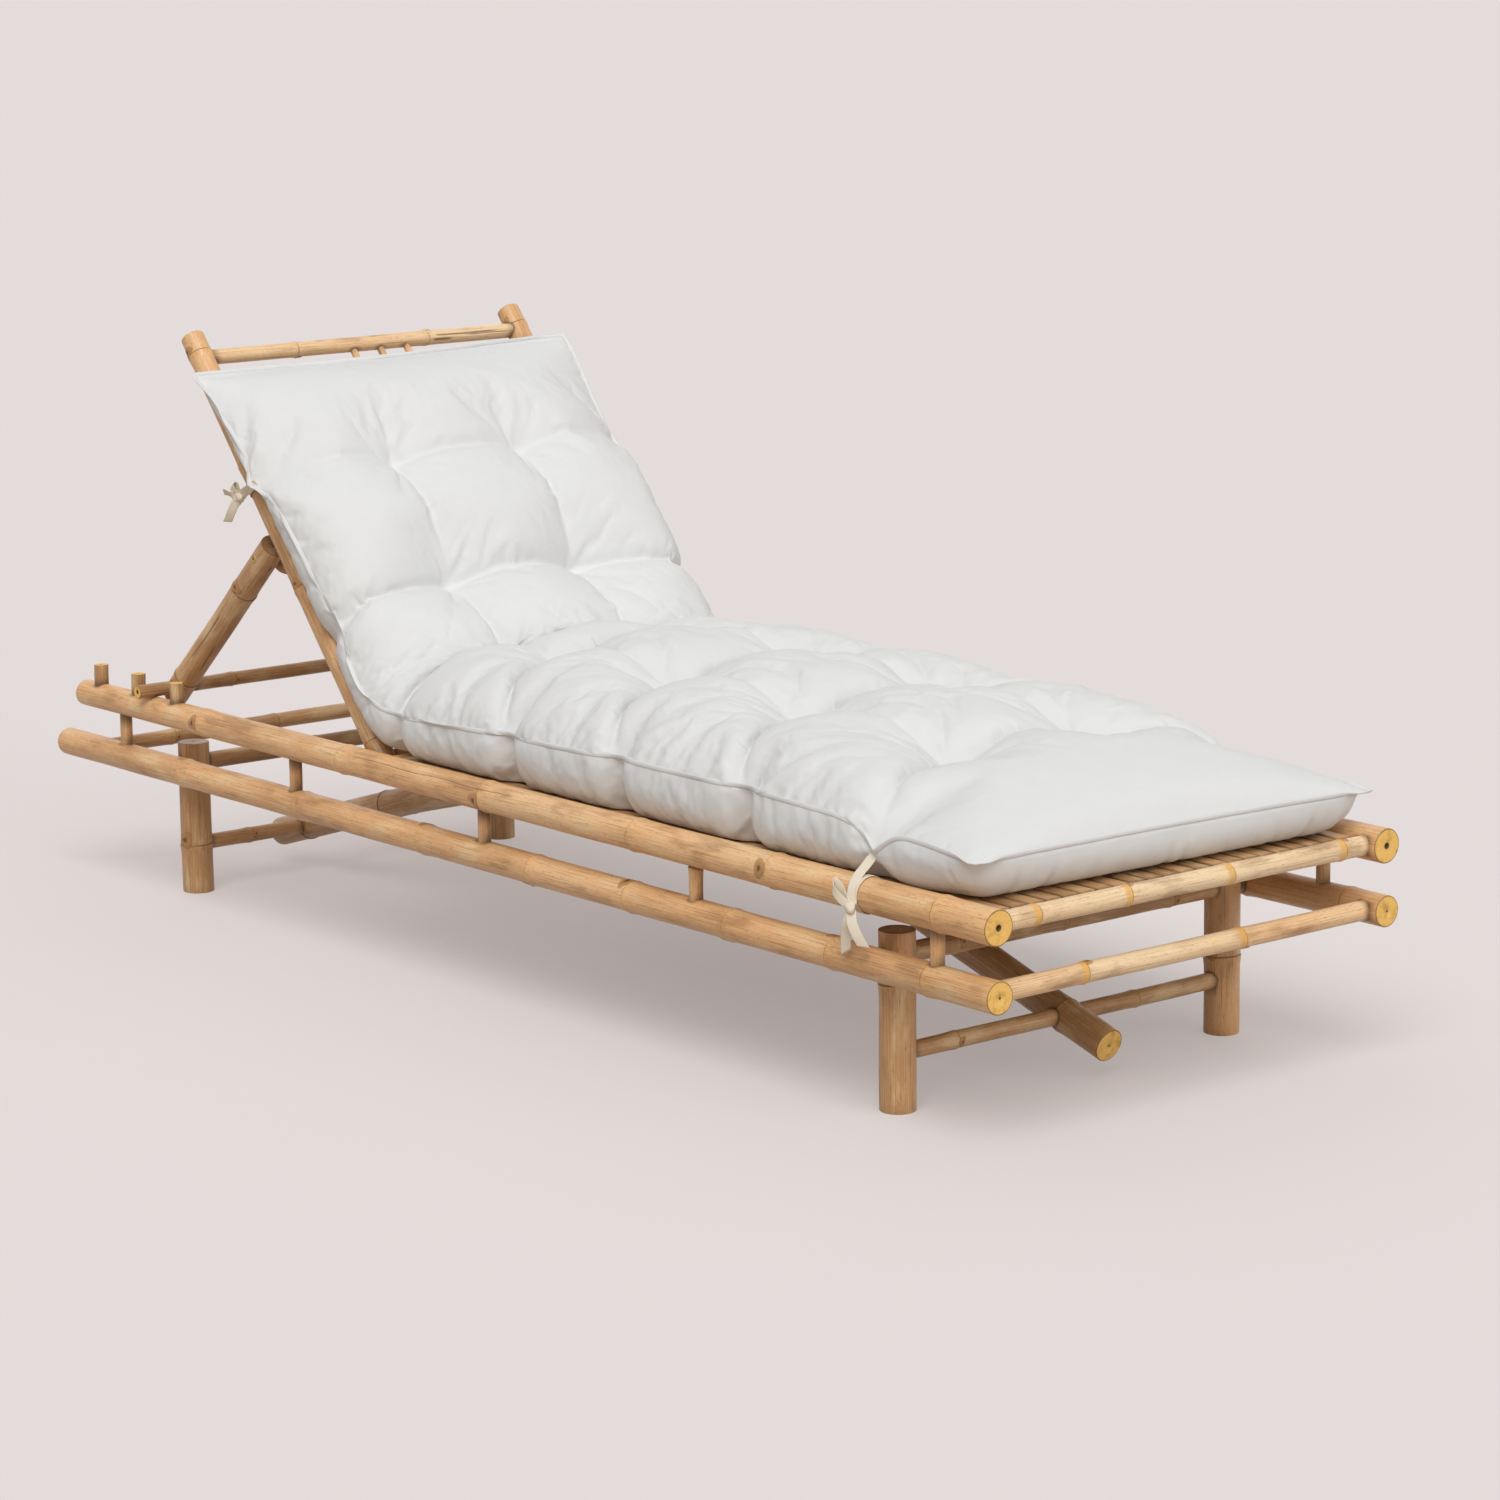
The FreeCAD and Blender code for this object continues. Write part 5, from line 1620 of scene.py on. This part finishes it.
def tie_piece(node, plan, origin, along_axis, out_axis, mirror):
    """A tie in a pole's axes: a band round the pole, a strap up to the seam, a loop, two tails and a
    knot."""
    axes = np.array(((1, 0, 0), along_axis, out_axis))
    flip = np.array((mirror, 1, 1))

    def placed(points):
        local = np.array(points, float).reshape(-1, 3) * flip
        return (local * MM) @ axes + origin + plan["along"] * MM * axes[1]

    turn = np.linspace(0, 2 * math.pi, BAND_POINTS, endpoint=False)
    radius = plan["radius"] + BAND_GAP
    aside, above = plan["centre"]
    band = np.stack((aside + radius * np.cos(turn), 0 * turn + BAND_ALONG, above + radius * np.sin(turn)), 1)
    away = np.array(TAPE_TWIST) * flip @ axes
    parts = [tape_arrays(placed(band), axes[1], closed=True)]
    parts.append(tape_arrays(placed(plan["strap"]), away))
    parts.append(tape_arrays(placed(plan["loop"]), axes[2], narrow=LOOP_NARROW))
    for tail, cut in zip(plan["tails"], (SLANT, -SLANT)):
        parts.append(tape_arrays(placed(tail), away, cut=cut))
    parts.append(knot_arrays(placed(plan["knot"])[0]))
    made = piece(f"{node}_bow", parts, node_body[node], (tape_cotton,))
    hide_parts(node)
    return made


for side, sign in SIDES.items():
    tie_piece(f"tie_front_{side}", RAIL_TIE, np.zeros(3), TO_HEAD, UP, -sign)
    tie_piece(f"tie_back_{side}", STILE_TIE, hinge, back_along, back_out, -sign)
print("4 ties")

# %% [markdown]
# ## The floor
#
# A studio stands the lounger on a seamless pale sheet. One large plane is enough for that. Rays that show
# it, from the camera or off a glossy surface, find the pale colour with a share of glow, so the background
# stays even and the shadow soft. All other rays find a duller floor, so that it doesn't light the
# undersides more than a sheet would.

# %% Lay the floor
FLOOR_SIZE = 120.0
FLOOR_GLOW = 0.4
BACKGROUND = linear("#e5dddb")
FLOOR_LIGHT = linear("#e9e1df")
FLOOR_DARK = linear("#e7dfdd")
FLOOR_BOUNCE = linear("#b5a99f")
CLOUD_M = 0.33


def rays_that_show(tree):
    """1 for rays from the camera, off a glossy surface or through a clear one, and 0 for rays that only
    light."""
    rays = add(tree, "LightPath")
    shown = rays["Is Camera Ray"]
    for kind in ("Is Glossy Ray", "Is Transmission Ray"):
        shown = add(tree, "Math", {"operation": "MAXIMUM"}, {0: shown, 1: rays[kind]})[0]
    return shown


# Matt paper from a wide roll: no gloss, and a faint cloud where the fibres lie thicker.
floor_paper, tree = new_material("studio sheet, matt paper")
shown = rays_that_show(tree)
where = add(tree, "TexCoord")["Object"]
cloud = add(tree, "TexNoise", inputs={"Vector": where, "Scale": 1 / CLOUD_M, "Detail": 2.0})["Fac"]
pale = add(tree, "Mix", COLOUR, {FACTOR: cloud, COLOUR_A: FLOOR_DARK, COLOUR_B: FLOOR_LIGHT})[COLOUR_OUT]
tint = add(tree, "Mix", COLOUR, {FACTOR: shown, COLOUR_A: FLOOR_BOUNCE, COLOUR_B: pale})[COLOUR_OUT]
matt = add(tree, "BsdfDiffuse", inputs={"Color": tint})[0]
glow = add(tree, "Emission", inputs={"Color": BACKGROUND, "Strength": 1.0})[0]
share = add(tree, "Math", {"operation": "MULTIPLY"}, {0: shown, 1: FLOOR_GLOW})[0]
mixed = add(tree, "MixShader", inputs={0: share, 1: matt, 2: glow})[0]
add(tree, "OutputMaterial", inputs={"Surface": mixed})
half = FLOOR_SIZE / 2
mesh = bpy.data.meshes.new("floor")
corners = [(-half, -half, 0), (half, -half, 0), (half, half, 0), (-half, half, 0)]
mesh.from_pydata(corners, [], [(0, 1, 2, 3)])
mesh.materials.append(floor_paper)
floor = bpy.data.objects.new("floor", mesh)
bpy.context.scene.collection.objects.link(floor)
print("floor", FLOOR_SIZE, "m wide")

# %% [markdown]
# ## The light
#
# The picture was lit by large soft boxes, from above on the near side and from the foot end. Area lamps
# could stand there, but a sun lamp with a wide angle gives the same soft shadow and needs no distance. A
# weak third one keeps the far side readable. The world adds even light from all round, and shows its pale
# colour where it is seen.

# %% Light the scene
WORLD_STRENGTH = 0.38
WHITE = (1, 1, 1, 1)
LAMPS = {
    "key": (1.85, 42.0, (-0.55, -0.55, 1.05)),
    "fill": (0.9, 60.0, (0.2, -0.95, 0.13)),
    "back": (0.30, 60.0, (0.4, 0.9, 0.6)),
}

world = bpy.data.worlds.new("studio")
world.use_nodes = True
tree = world.node_tree
tree.nodes.clear()
even = add(tree, "Background", inputs={"Color": WHITE, "Strength": WORLD_STRENGTH})[0]
pale = add(tree, "Background", inputs={"Color": BACKGROUND, "Strength": 1.0})[0]
mixed = add(tree, "MixShader", inputs={0: rays_that_show(tree), 1: even, 2: pale})[0]
add(tree, "OutputWorld", inputs={"Surface": mixed})
bpy.context.scene.world = world
for name, (strength, softness, toward) in LAMPS.items():
    data = bpy.data.lights.new(name, "SUN")
    data.energy = strength
    data.angle = math.radians(softness)
    lamp = bpy.data.objects.new(name, data)
    bpy.context.scene.collection.objects.link(lamp)
    back = unit_rows(np.array(toward))
    right = unit_rows(np.cross(UP, back))
    turned = np.eye(4)
    turned[:3, :3] = np.column_stack((right, np.cross(back, right), back))
    lamp.matrix_world = turned.T.tolist()
bpy.context.scene.view_settings.view_transform = "Standard"
print("lamps", sorted(LAMPS))
